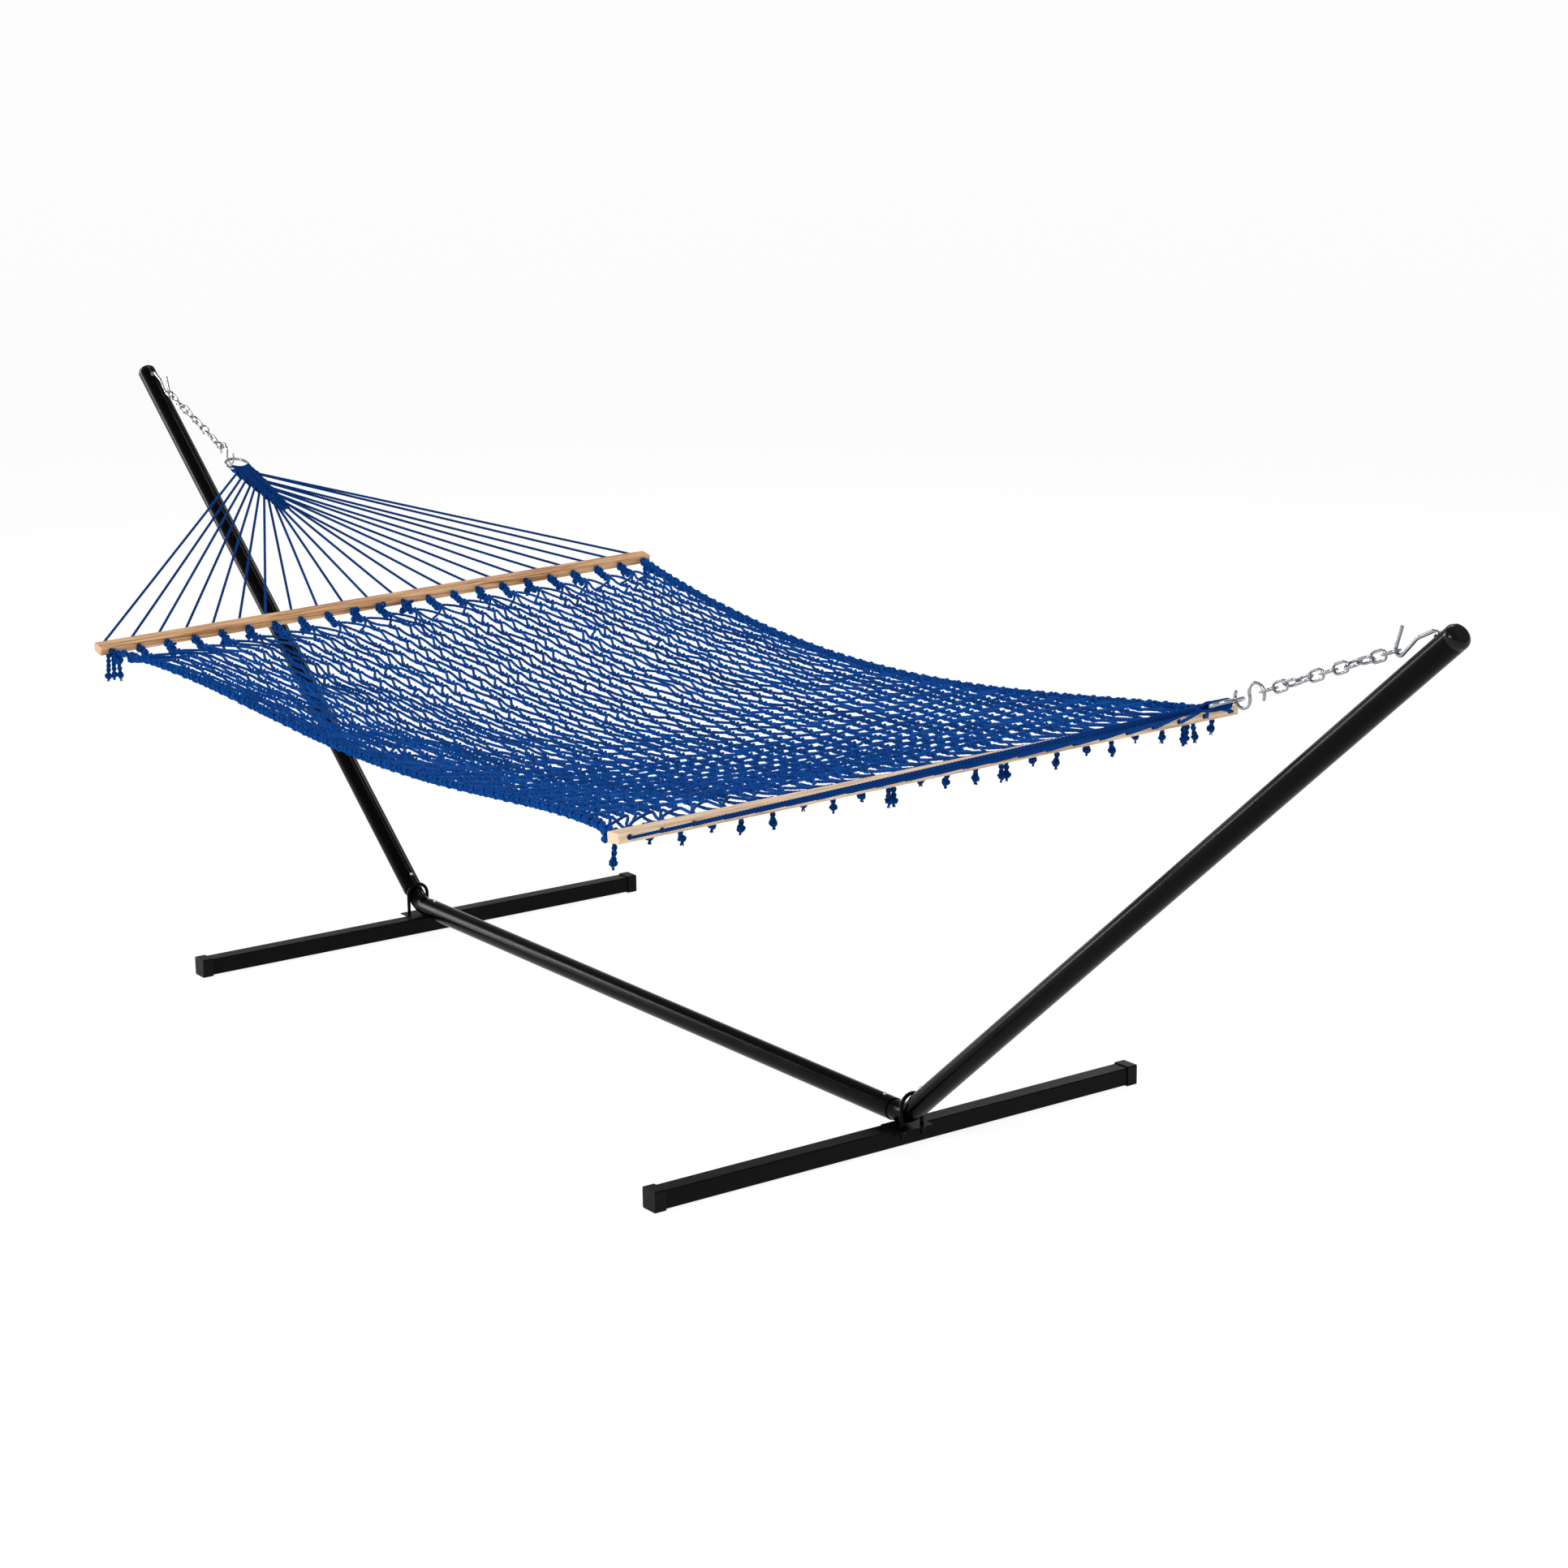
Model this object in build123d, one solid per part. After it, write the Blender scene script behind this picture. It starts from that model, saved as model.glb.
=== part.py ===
"""Rope hammock on a three-tube steel stand, in millimetres.

+X runs along the stand, +Z is up, and the origin is on the floor in the middle of the stand.
"left" is the -X end, "right" the +X end, "front" the -Y side and "back" the +Y side.
Pieces that are alike at both ends are drawn at the right end and mirrored to the left one.
"""
import os
from math import cos, radians, sin, tan

from build123d import *

PARTS = "parts"
HALF_TURN = 180
QUARTER_TURN = 90

# Cross feet
FOOT_X = 935.0
FOOT_LENGTH = 1200.0
FOOT_SIDE = 38.0
FOOT_WALL = 1.5
FOOT_CORNER = 3.0
CAP_SIDE = 43.0
CAP_LENGTH = 25.0
CAP_END_WALL = 3.0
CAP_CORNER = 3.5
CAP_EDGE_RADIUS = 1.2
CAP_GAP = 0.1

# Round tubes of the beam and uprights, and the bent tubes that join them
TUBE_RADIUS = 23.0
TUBE_BORE = 21.4
ELBOW_RADIUS = 21.0
ELBOW_BORE = 19.0
ELBOW_BEND = 70.0
ELBOW_REACH = 170.0
BEAM_HALF = 910.0
CORNER_X = 951.5
RAKE = 40.36
UPRIGHT_START = 46.0
UPRIGHT_LENGTH = 1750.0

# Saddle plate and U-bolt on each foot
PLATE_THICK = 2.0
PLATE_WIDTH = 84.0
PLATE_INNER_X = 918.0
PLATE_OUTER_X = 980.0
UBOLT_X = 965.0
UBOLT_HALF = 25.5
UBOLT_ROD = 4.0
UBOLT_ARCH_Z = 86.0
UBOLT_END_Z = 22.0
NUT_ACROSS = 13.0
NUT_HEIGHT = 6.5
NUT_GAP = 0.1

# Domed plugs in the tops of the uprights
DOME_RIM = 4.0
DOME_RISE = 12.0
DOME_FILLET = 11.5
PLUG_RADIUS = 21.2
PLUG_LENGTH = 14.0
PLUG_WALL = 2.0

# Spring buttons that lock the tubes onto the elbows
BUTTON_INSET = 29.0
BUTTON_RADIUS = 4.2
BUTTON_HOLE = 4.3
BUTTON_PROUD = 3.5
BUTTON_DOME = 2.5
BUTTON_FLANGE_RADIUS = 6.0
BUTTON_FLANGE_TOP = 17.8
BUTTON_FLANGE_THICK = 1.5
SPRING_LENGTH = 45.0
SPRING_WIDTH = 8.0
SPRING_THICK = 1.2
SPRING_FOOT = 18.0
SPRING_GAP = 0.1

# Bent-rod hooks near the tops of the uprights
HOOK_STATION = 1770.0
HOOK_ROD = 3.5
HOOK_HOLE = 3.7
HOOK_START = 10.0
HOOK_RISE = 32.0
HOOK_KNEE = (2241.0, 1215.0)
HOOK_TOE = (2184.7, 1155.7)
HOOK_TIP = (2208.6, 1229.0)
HOOK_BENDS = (8.0, 30.0, 9.0)
HOOK_GAP = 0.5
HOOK_NUT_ACROSS = 11.0
HOOK_NUT_HEIGHT = 6.0
HOOK_NUT_TOP = 20.3
HOOK_WASHER_RADIUS = 8.0
HOOK_WASHER_THICK = 2.0
HOOK_WASHER_GAP = 0.1

# Chain, S-hook and ring, in line with the pull
PULL_ANGLE = 21.4
TOUCH_GAP = 0.15
LINK_WIRE = 2.5
LINK_BEND = 8.5
LINK_SPAN = 34.2
LINK_PITCH = 29.0
LINK_TWISTS = (0, 0, 30, 60, 90, 90, 90, 60, 30, 0, 0)
SHOOK_WIRE = 3.0
SHOOK_BEND = 18.0
SHOOK_SWEEP = 230.0
RING_WIRE = 3.5
RING_BEND = 29.0

# Spreader bars: centre, height, tilt along the bar and roll towards the ring
BAR_X = 1063.0
BAR_LENGTH = 1490.0
BAR_DEPTH = 36.0
BAR_THICK = 21.0
BAR_EDGE_RADIUS = 4.0
BAR_END_RADIUS = 3.0
BAR_Z = {"left": 795.0, "right": 782.0}
BAR_TILT = {"left": 2.0, "right": 1.0}
BAR_ROLL = {"left": 12.0, "right": 4.0}
HOLE_COUNT = 22
HOLE_PITCH = 68.6
HOLE_RADIUS = 5.5

# Rope work
ROPE_RADIUS = 2.3
CLEW_GAP = 1.0
CLEW_LENGTH = 255.0
CLEW_TOP_WIDTH = 54.0
CLEW_TIP_WIDTH = 14.0
CLEW_TOP_THICK = 12.0
CLEW_TIP_THICK = 8.0
CLEW_CORNER = 3.0
FAN_FIRST = 22.0
FAN_STEP = 22.0
FAN_GAP = 0.6
FAN_BEND = 8.0
FAN_ENTRY = 7.0
KNOT_RADIUS = 8.0
KNOT_GAP = 1.0
TAIL_RADIUS = 5.0
TAIL_DROP = {"left": (58.0, 0.0, 0.0), "right": (52.0, 34.0, 42.0)}

# Net bed between the bars
BED_END_X = 1012.0
BED_THICK = 5.0
BED_STATIONS = 11
BED_HALF_WIDTH = 704.0
EDGE_PULL_SQUARE = 23.6
EDGE_PULL_FOURTH = 55.6
EDGE_SAG_SQUARE = 121.0
EDGE_SAG_FOURTH = -47.7
MIDDLE_SAG = 55.0
BED_DROP = 4.0
EDGE_ROPE_RADIUS = 11.0
EDGE_ROPE_OFFSET = 13.0
EDGE_ROPE_STATIONS = 10
EDGE_ROPE_REACH = 0.99
ARC_SHARE = 0.45

FOOT_LOW = (CAP_SIDE - FOOT_SIDE) / 2
FOOT_TOP = FOOT_LOW + FOOT_SIDE
BEAM_Z = FOOT_TOP + PLATE_THICK + ELBOW_RADIUS
AXIS_UP = Vector(cos(radians(RAKE)), 0, sin(radians(RAKE)))
AXIS_NORMAL = Vector(-sin(radians(RAKE)), 0, cos(radians(RAKE)))
CORNER = Vector(CORNER_X, 0, BEAM_Z)
PULL = Vector(-cos(radians(PULL_ANGLE)), 0, -sin(radians(PULL_ANGLE)))
PULL_UP = Vector(-sin(radians(PULL_ANGLE)), 0, cos(radians(PULL_ANGLE)))
KNEE = Vector(HOOK_KNEE[0], 0, HOOK_KNEE[1])
TOE = Vector(HOOK_TOE[0], 0, HOOK_TOE[1])
TIP = Vector(HOOK_TIP[0], 0, HOOK_TIP[1])
TOE_BISECTOR = ((KNEE - TOE).normalized() + (TIP - TOE).normalized()).normalized()
TOE_HALF_ANGLE = radians((KNEE - TOE).get_angle(TIP - TOE) / 2)
HOOK_SEAT = TOE + TOE_BISECTOR * (HOOK_BENDS[2] / sin(TOE_HALF_ANGLE))
PIVOT = HOOK_SEAT + PULL * (HOOK_BENDS[2] - HOOK_ROD - LINK_WIRE - HOOK_GAP)
CHAIN_END = LINK_PITCH * (len(LINK_TWISTS) - 1) + LINK_SPAN
LOBE_ONE = CHAIN_END + SHOOK_BEND - SHOOK_WIRE - LINK_WIRE - TOUCH_GAP
LOBE_TWO = LOBE_ONE + 2 * SHOOK_BEND
RING_AT = LOBE_TWO + SHOOK_BEND - SHOOK_WIRE - RING_WIRE - TOUCH_GAP + RING_BEND
RING_CENTRE = PIVOT + PULL * RING_AT


def save(name, *solids):
    """Write one node's solids to its STEP file."""
    body = solids[0] if len(solids) == 1 else Compound(list(solids))
    export_step(body, os.path.join(PARTS, name + ".step"))


def save_pair(name, *solids):
    """Write the right-hand node and its mirror image at the left end."""
    save(name + "_right", *solids)
    save(name + "_left", *[mirror(solid, about=Plane.YZ) for solid in solids])


def bar_along(start, direction, length, radius):
    """A round bar from a point along a direction."""
    profile = Plane(origin=start, z_dir=direction) * Circle(radius)
    return extrude(profile, length)


def tube_along(start, direction, length, radius, bore):
    """A round tube from a point along a direction."""
    profile = Plane(origin=start, z_dir=direction) * (Circle(radius) - Circle(bore))
    return extrude(profile, length)


def rod(path, radius):
    """A round rod swept along a path."""
    return sweep(Plane(origin=path @ 0, z_dir=path % 0) * Circle(radius), path=path)


def hex_nut(base, direction, across, height, bore):
    """A hexagon nut that starts at a base point."""
    profile = RegularPolygon(across / 2, 6, major_radius=False) - Circle(bore)
    return extrude(Plane(origin=base, z_dir=direction) * profile, height)


def foot_tube():
    """The square tube of one cross foot."""
    inner = FOOT_SIDE - 2 * FOOT_WALL
    profile = RectangleRounded(FOOT_SIDE, FOOT_SIDE, FOOT_CORNER) - RectangleRounded(
        inner, inner, FOOT_CORNER - FOOT_WALL
    )
    reach = FOOT_LENGTH / 2 - CAP_END_WALL - CAP_GAP
    start = Plane(origin=(FOOT_X, -reach, FOOT_LOW + FOOT_SIDE / 2), z_dir=(0, 1, 0))
    return extrude(start * profile, 2 * reach)


def foot_cap(side):
    """The sleeve cap on one end of a foot, with side -1 at the front and 1 at the back."""
    outer_end = Plane(origin=(FOOT_X, side * FOOT_LENGTH / 2, CAP_SIDE / 2), z_dir=(0, -side, 0))
    shell = extrude(outer_end * RectangleRounded(CAP_SIDE, CAP_SIDE, CAP_CORNER), CAP_LENGTH)
    end_edges = shell.edges().filter_by_position(
        Axis.Y, side * FOOT_LENGTH / 2 - CAP_GAP, side * FOOT_LENGTH / 2 + CAP_GAP
    )
    shell = fillet(end_edges, CAP_EDGE_RADIUS)
    cavity_side = FOOT_SIDE + CAP_GAP
    cavity = outer_end.offset(CAP_END_WALL) * RectangleRounded(cavity_side, cavity_side, FOOT_CORNER)
    return shell - extrude(cavity, CAP_LENGTH)


def saddle_plate():
    """The plate welded on top of a foot, which overhangs it on the outer side."""
    depth = PLATE_OUTER_X - PLATE_INNER_X
    middle = (PLATE_OUTER_X + PLATE_INNER_X) / 2
    profile = Plane(origin=(middle, 0, FOOT_TOP)) * RectangleRounded(depth, PLATE_WIDTH, FOOT_CORNER)
    plate = extrude(profile, PLATE_THICK)
    for y in (-UBOLT_HALF, UBOLT_HALF):
        plate -= bar_along((UBOLT_X, y, 0), (0, 0, 1), BEAM_Z, UBOLT_ROD + NUT_GAP)
    return plate


def u_bolt():
    """The U-bolt that clamps an elbow to its plate."""
    front = Line((UBOLT_X, -UBOLT_HALF, UBOLT_END_Z), (UBOLT_X, -UBOLT_HALF, UBOLT_ARCH_Z))
    arch_top = (UBOLT_X, 0, UBOLT_ARCH_Z + UBOLT_HALF)
    arch = ThreePointArc(front @ 1, arch_top, (UBOLT_X, UBOLT_HALF, UBOLT_ARCH_Z))
    back = Line(arch @ 1, (UBOLT_X, UBOLT_HALF, UBOLT_END_Z))
    return rod(Wire([front, arch, back]), UBOLT_ROD)


def u_bolt_nuts():
    """The two nuts under the plate."""
    base_z = FOOT_TOP - NUT_HEIGHT
    return [
        hex_nut((UBOLT_X, y, base_z), (0, 0, 1), NUT_ACROSS, NUT_HEIGHT, UBOLT_ROD + NUT_GAP)
        for y in (-UBOLT_HALF, UBOLT_HALF)
    ]


def button_frames():
    """Origin, depth direction and outward normal of the two spring buttons at one elbow."""
    beam = (Vector(BEAM_HALF - BUTTON_INSET, 0, BEAM_Z), Vector(-1, 0, 0), Vector(0, 0, 1))
    upright = (CORNER + AXIS_UP * (UPRIGHT_START + BUTTON_INSET), AXIS_UP, AXIS_NORMAL)
    return {"beam": beam, "upright": upright}


def button_hole(place):
    """The cutter for a spring button's hole."""
    origin, _, normal = button_frames()[place]
    return bar_along(origin, normal, TUBE_RADIUS + BUTTON_PROUD, BUTTON_HOLE)


def elbow():
    """The bent tube that slides into the beam and an upright."""
    inner_end = CORNER - Vector(ELBOW_REACH, 0, 0)
    outer_end = CORNER + AXIS_UP * ELBOW_REACH
    path = FilletPolyline(inner_end, CORNER, outer_end, radius=ELBOW_BEND)
    ring = Circle(ELBOW_RADIUS) - Circle(ELBOW_BORE)
    bend = sweep(Plane(origin=path @ 0, z_dir=path % 0) * ring, path=path)
    for place in button_frames():
        bend -= button_hole(place)
    return bend


def beam_tube():
    """The long bottom tube."""
    beam = tube_along((-BEAM_HALF, 0, BEAM_Z), (1, 0, 0), 2 * BEAM_HALF, TUBE_RADIUS, TUBE_BORE)
    hole = button_hole("beam")
    return beam - hole - mirror(hole, about=Plane.YZ)


def upright():
    """One raking upright tube."""
    start = CORNER + AXIS_UP * UPRIGHT_START
    post = tube_along(start, AXIS_UP, UPRIGHT_LENGTH, TUBE_RADIUS, TUBE_BORE)
    hook_hole = bar_along(CORNER + AXIS_UP * HOOK_STATION, AXIS_NORMAL, HOOK_RISE, HOOK_HOLE)
    return post - button_hole("upright") - hook_hole


def upright_cap():
    """The domed plug in an upright's top."""
    rim = CORNER + AXIS_UP * (UPRIGHT_START + UPRIGHT_LENGTH)
    height = DOME_RIM + DOME_RISE
    head = extrude(Plane.XY * Circle(TUBE_RADIUS), height)
    head = fillet(head.edges().group_by(Axis.Z)[-1], DOME_FILLET)
    sleeve = extrude(Circle(PLUG_RADIUS) - Circle(PLUG_RADIUS - PLUG_WALL), -PLUG_LENGTH)
    return Plane(origin=rim, x_dir=(0, 1, 0), z_dir=AXIS_UP) * (head + sleeve)


def snap_button(place):
    """A domed steel pin with an inner flange."""
    origin, _, normal = button_frames()[place]
    base = BUTTON_FLANGE_TOP - BUTTON_FLANGE_THICK
    top = TUBE_RADIUS + BUTTON_PROUD
    pin = extrude(Plane.XY.offset(base) * Circle(BUTTON_RADIUS), top - base)
    pin = fillet(pin.edges().group_by(Axis.Z)[-1], BUTTON_DOME)
    flange = extrude(Plane.XY.offset(base) * Circle(BUTTON_FLANGE_RADIUS), BUTTON_FLANGE_THICK)
    return Plane(origin=origin, x_dir=(0, 1, 0), z_dir=normal) * (pin + flange)


def snap_spring(place):
    """The V-shaped leaf spring under a button."""
    origin, depth, normal = button_frames()[place]
    top = BUTTON_FLANGE_TOP - BUTTON_FLANGE_THICK - SPRING_GAP
    outline = Polyline(
        (0, top),
        (SPRING_LENGTH, 0),
        (0, -SPRING_FOOT),
        (0, -SPRING_FOOT + SPRING_THICK),
        (SPRING_LENGTH - 2 * SPRING_THICK, 0),
        (0, top - SPRING_THICK),
        close=True,
    )
    across = depth.cross(normal)
    plane = Plane(origin=origin - across * (SPRING_WIDTH / 2), x_dir=depth, z_dir=across)
    return extrude(plane * make_face(outline), SPRING_WIDTH)


def hook():
    """The bent rod that a chain hangs in."""
    station = CORNER + AXIS_UP * HOOK_STATION
    start = station + AXIS_NORMAL * HOOK_START
    shoulder = station + AXIS_NORMAL * HOOK_RISE
    return rod(FilletPolyline(start, shoulder, KNEE, TOE, TIP, radius=list(HOOK_BENDS)), HOOK_ROD)


def hook_fixings():
    """The nut inside the tube and the washer outside it."""
    station = CORNER + AXIS_UP * HOOK_STATION
    nut_base = station + AXIS_NORMAL * (HOOK_NUT_TOP - HOOK_NUT_HEIGHT)
    nut = hex_nut(nut_base, AXIS_NORMAL, HOOK_NUT_ACROSS, HOOK_NUT_HEIGHT, HOOK_HOLE)
    washer_base = station + AXIS_NORMAL * (TUBE_RADIUS + HOOK_WASHER_GAP)
    washer = tube_along(washer_base, AXIS_NORMAL, HOOK_WASHER_THICK, HOOK_WASHER_RADIUS, HOOK_HOLE)
    return [nut, washer]


def flat_link():
    """A chain link lying in XY, with its first end bar's middle at the origin."""
    straight = LINK_SPAN - 2 * LINK_BEND
    half_ring = Torus(LINK_BEND, LINK_WIRE, major_angle=HALF_TURN, align=None)
    near = Pos(LINK_BEND, 0, 0) * Rot(0, 0, QUARTER_TURN) * half_ring
    far = Pos(LINK_BEND + straight, 0, 0) * Rot(0, 0, -QUARTER_TURN) * half_ring
    link = near + far
    for y in (-LINK_BEND, LINK_BEND):
        link += bar_along((LINK_BEND, y, 0), (1, 0, 0), straight, LINK_WIRE)
    return link


def chain():
    """Welded links in line with the pull, each turned about a quarter from the last."""
    link = flat_link()
    links = []
    for number, twist in enumerate(LINK_TWISTS):
        turned = Rot(number * QUARTER_TURN + twist, 0, 0) * link
        start = PIVOT + PULL * (number * LINK_PITCH)
        links.append(Plane(origin=start, x_dir=PULL, z_dir=PULL_UP) * turned)
    return links


def s_hook():
    """The S-hook between the chain and the ring."""
    sweep_back = SHOOK_SWEEP
    first = CenterArc((LOBE_ONE, 0), SHOOK_BEND, sweep_back, -sweep_back)
    second = CenterArc((LOBE_TWO, 0), SHOOK_BEND, HALF_TURN, sweep_back)
    plane = Plane(origin=PIVOT, x_dir=PULL, z_dir=PULL.cross(PULL_UP))
    return rod(plane * Wire([first, second]), SHOOK_WIRE)


def ring():
    """The steel ring that gathers the ropes."""
    return Plane(origin=RING_CENTRE, x_dir=PULL, z_dir=PULL_UP) * Torus(RING_BEND, RING_WIRE)


class End:
    """One end of the hammock: its bar frame and the line from its ring to its bar."""

    def __init__(self, side):
        self.side = side
        self.sign = 1 if side == "right" else -1
        roll = radians(BAR_ROLL[side])
        tilt = radians(BAR_TILT[side])
        self.centre = Vector(self.sign * BAR_X, 0, BAR_Z[side])
        self.out = Vector(self.sign * cos(roll), 0, sin(roll))
        square_up = Vector(-self.sign * sin(roll), 0, cos(roll))
        self.along = Vector(0, cos(tilt), 0) + square_up * sin(tilt)
        self.up = square_up * cos(tilt) - Vector(0, sin(tilt), 0)
        self.ring = Vector(self.sign * RING_CENTRE.X, 0, RING_CENTRE.Z)
        self.fan = (self.centre - self.ring).normalized()
        self.fan_up = Vector(0, self.sign, 0).cross(self.fan).normalized()
        self.clew_start = self.ring + self.fan * (RING_BEND + RING_WIRE + CLEW_GAP)

    def hole(self, number, outward):
        """A point on a hole's axis, at a distance outward from the bar's middle."""
        y = (number - (HOLE_COUNT - 1) / 2) * HOLE_PITCH
        return self.centre + self.along * y + self.out * outward

    def bar(self):
        """The spreader bar with its row of holes."""
        place = Plane(origin=self.centre, x_dir=self.out, z_dir=self.up)
        blank = Box(BAR_DEPTH, BAR_LENGTH, BAR_THICK)
        blank = fillet(blank.edges().filter_by(Axis.Y), BAR_EDGE_RADIUS)
        end_edges = blank.edges().group_by(Axis.Y)
        blank = fillet(end_edges[0] + end_edges[-1], BAR_END_RADIUS)
        bar = place * blank
        for number in range(HOLE_COUNT):
            start = self.hole(number, -BAR_DEPTH)
            bar -= bar_along(start, self.out, 2 * BAR_DEPTH, HOLE_RADIUS)
        return bar

    def clew_width(self, distance):
        """The woven clew's width at a distance from its start."""
        share = distance / CLEW_LENGTH
        return CLEW_TOP_WIDTH + (CLEW_TIP_WIDTH - CLEW_TOP_WIDTH) * share

    def clew(self):
        """The woven rope triangle as one tapered plate."""
        top = Plane(origin=self.clew_start, x_dir=(0, 1, 0), z_dir=self.fan)
        tip = Plane(origin=self.clew_start + self.fan * CLEW_LENGTH, x_dir=(0, 1, 0), z_dir=self.fan)
        wide = top * RectangleRounded(CLEW_TOP_WIDTH, CLEW_TOP_THICK, CLEW_CORNER)
        narrow = tip * RectangleRounded(CLEW_TIP_WIDTH, CLEW_TIP_THICK, CLEW_CORNER)
        return loft([wide, narrow])

    def fan_cord(self, number):
        """One taut rope from the clew's edge through its hole in the bar."""
        from_edge = min(number, HOLE_COUNT - 1 - number)
        hand = 1 if number >= HOLE_COUNT / 2 else -1
        distance = FAN_FIRST + FAN_STEP * from_edge
        half = self.clew_width(distance) / 2 + ROPE_RADIUS + FAN_GAP
        start = self.clew_start + self.fan * distance + Vector(0, hand * half, 0)
        entry = self.hole(number, BAR_DEPTH / 2 + FAN_ENTRY)
        inside = self.hole(number, -BAR_DEPTH / 2)
        return rod(FilletPolyline(start, entry, inside, radius=FAN_BEND), ROPE_RADIUS)

    def knots(self):
        """The knot behind each hole, on the bed's side of the bar."""
        outward = -(BAR_DEPTH / 2 + KNOT_GAP + KNOT_RADIUS)
        return [Pos(self.hole(number, outward)) * Sphere(KNOT_RADIUS) for number in range(HOLE_COUNT)]

    def tails(self):
        """The cut rope ends that hang below the knots."""
        drops = TAIL_DROP[self.side]
        outward = -(BAR_DEPTH / 2 + KNOT_GAP + KNOT_RADIUS)
        solids = []
        for number in range(HOLE_COUNT):
            drop = drops[0] if number in (0, HOLE_COUNT - 1) else drops[1 + number % 2]
            if drop:
                top = self.hole(number, outward) - Vector(0, 0, KNOT_RADIUS + KNOT_GAP)
                solids.append(bar_along(top, (0, 0, -1), drop - KNOT_RADIUS, TAIL_RADIUS))
        return solids


def bed_half_width(share):
    """Half the net's width, at a share of the way from the middle (0) to a bar (1)."""
    return BED_HALF_WIDTH - EDGE_PULL_SQUARE * (1 - share**2) - EDGE_PULL_FOURTH * (1 - share**4)


def bed_height(share, side_share):
    """The net's height at a signed share along the stand and a signed share of its half width."""
    mix = (1 + share) / 2
    middle = BAR_Z["left"] * (1 - mix) + BAR_Z["right"] * mix - BED_DROP
    slope = tan(radians(BAR_TILT["left"])) * (1 - mix) + tan(radians(BAR_TILT["right"])) * mix
    level = middle + slope * side_share * bed_half_width(share)
    edge_sag = EDGE_SAG_SQUARE * (1 - share**2) + EDGE_SAG_FOURTH * (1 - share**4)
    return level - edge_sag - MIDDLE_SAG * (1 - share**2) * (1 - side_share**2)


def bed_section(share):
    """One cross-section of the net bed, a thin strip bowed downwards."""
    half = bed_half_width(share)
    plane = Plane(origin=(share * BED_END_X, 0, 0), x_dir=(0, 1, 0), z_dir=(1, 0, 0))
    top = [(side * half, bed_height(share, side) + BED_THICK / 2) for side in (-1, 0, 1)]
    low = [(y, z - BED_THICK) for y, z in top]
    upper = bowed_line(top[0], top[1], top[2])
    lower = bowed_line(low[2], low[1], low[0])
    return plane * make_face([upper, Line(top[2], low[2]), lower, Line(low[0], top[0])])


def bowed_line(start, middle, end):
    """An arc through three points, or two equal runs where they are nearly in line."""
    offset = abs(middle[1] - (start[1] + end[1]) / 2)
    if offset < 1:
        return Spline(start, middle, end)
    return ThreePointArc(start, middle, end)


def net_bed():
    """The net as one thin curved sheet between the bars."""
    shares = [2 * step / (BED_STATIONS - 1) - 1 for step in range(BED_STATIONS)]
    return loft([bed_section(share) for share in shares], ruled=True)


def edge_rope(side):
    """The braided rope bundle along one edge of the net."""
    points = []
    for step in range(EDGE_ROPE_STATIONS):
        share = EDGE_ROPE_REACH * (2 * step / (EDGE_ROPE_STATIONS - 1) - 1)
        y = side * (bed_half_width(share) + EDGE_ROPE_OFFSET)
        points.append(Vector(share * BED_END_X, y, bed_height(share, side)))
    radii = []
    for before, corner, after in zip(points, points[1:], points[2:]):
        first = corner - before
        second = after - corner
        turn = radians(first.get_angle(second))
        radii.append(ARC_SHARE * min(first.length, second.length) / tan(turn / 2))
    return rod(FilletPolyline(*points, radius=radii), EDGE_ROPE_RADIUS)


def write_stand():
    """Write every piece of the stand."""
    save_pair("foot_tube", foot_tube())
    save_pair("foot_cap_front", foot_cap(-1))
    save_pair("foot_cap_back", foot_cap(1))
    save_pair("saddle_plate", saddle_plate())
    save_pair("u_bolt", u_bolt())
    save_pair("u_bolt_nuts", *u_bolt_nuts())
    save_pair("elbow", elbow())
    save("beam_tube", beam_tube())
    save_pair("upright", upright())
    save_pair("upright_cap", upright_cap())
    for place in button_frames():
        save_pair("snap_button_" + place, snap_button(place))
        save_pair("snap_spring_" + place, snap_spring(place))
    save_pair("hook", hook())
    save_pair("hook_fixings", *hook_fixings())


def write_hammock():
    """Write every piece that hangs from the hooks."""
    save_pair("chain", *chain())
    save_pair("s_hook", s_hook())
    save_pair("ring", ring())
    for side in ("left", "right"):
        end = End(side)
        save("spreader_bar_" + side, end.bar())
        save("clew_" + side, end.clew())
        save("clew_cords_" + side, *[end.fan_cord(number) for number in range(HOLE_COUNT)])
        save("bar_knots_" + side, *end.knots())
        save("rope_tails_" + side, *end.tails())
    save("net_bed", net_bed())
    save("edge_rope_front", edge_rope(-1))
    save("edge_rope_back", edge_rope(1))


os.makedirs(PARTS, exist_ok=True)
write_stand()
write_hammock()
print("swing axis height", round(PIVOT.Z, 3))
for place, (origin, _, normal) in button_frames().items():
    print(place, "button normal", normal)
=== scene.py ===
"""Looks of a rope hammock on a three-tube steel stand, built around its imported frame.

+X runs along the stand, +Z is up, and the origin is on the floor in the middle of the stand.
"left" is the -X end, "right" the +X end, "front" the -Y side and "back" the +Y side.
Lengths are metres. Every rope is a laid rope: a lobed section carried along a line, turning as it goes.
"""
import logging
from dataclasses import dataclass, field
from enum import Enum
from typing import Any, Sequence

import bpy
import numpy as np
from mathutils import Matrix, Vector


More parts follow.
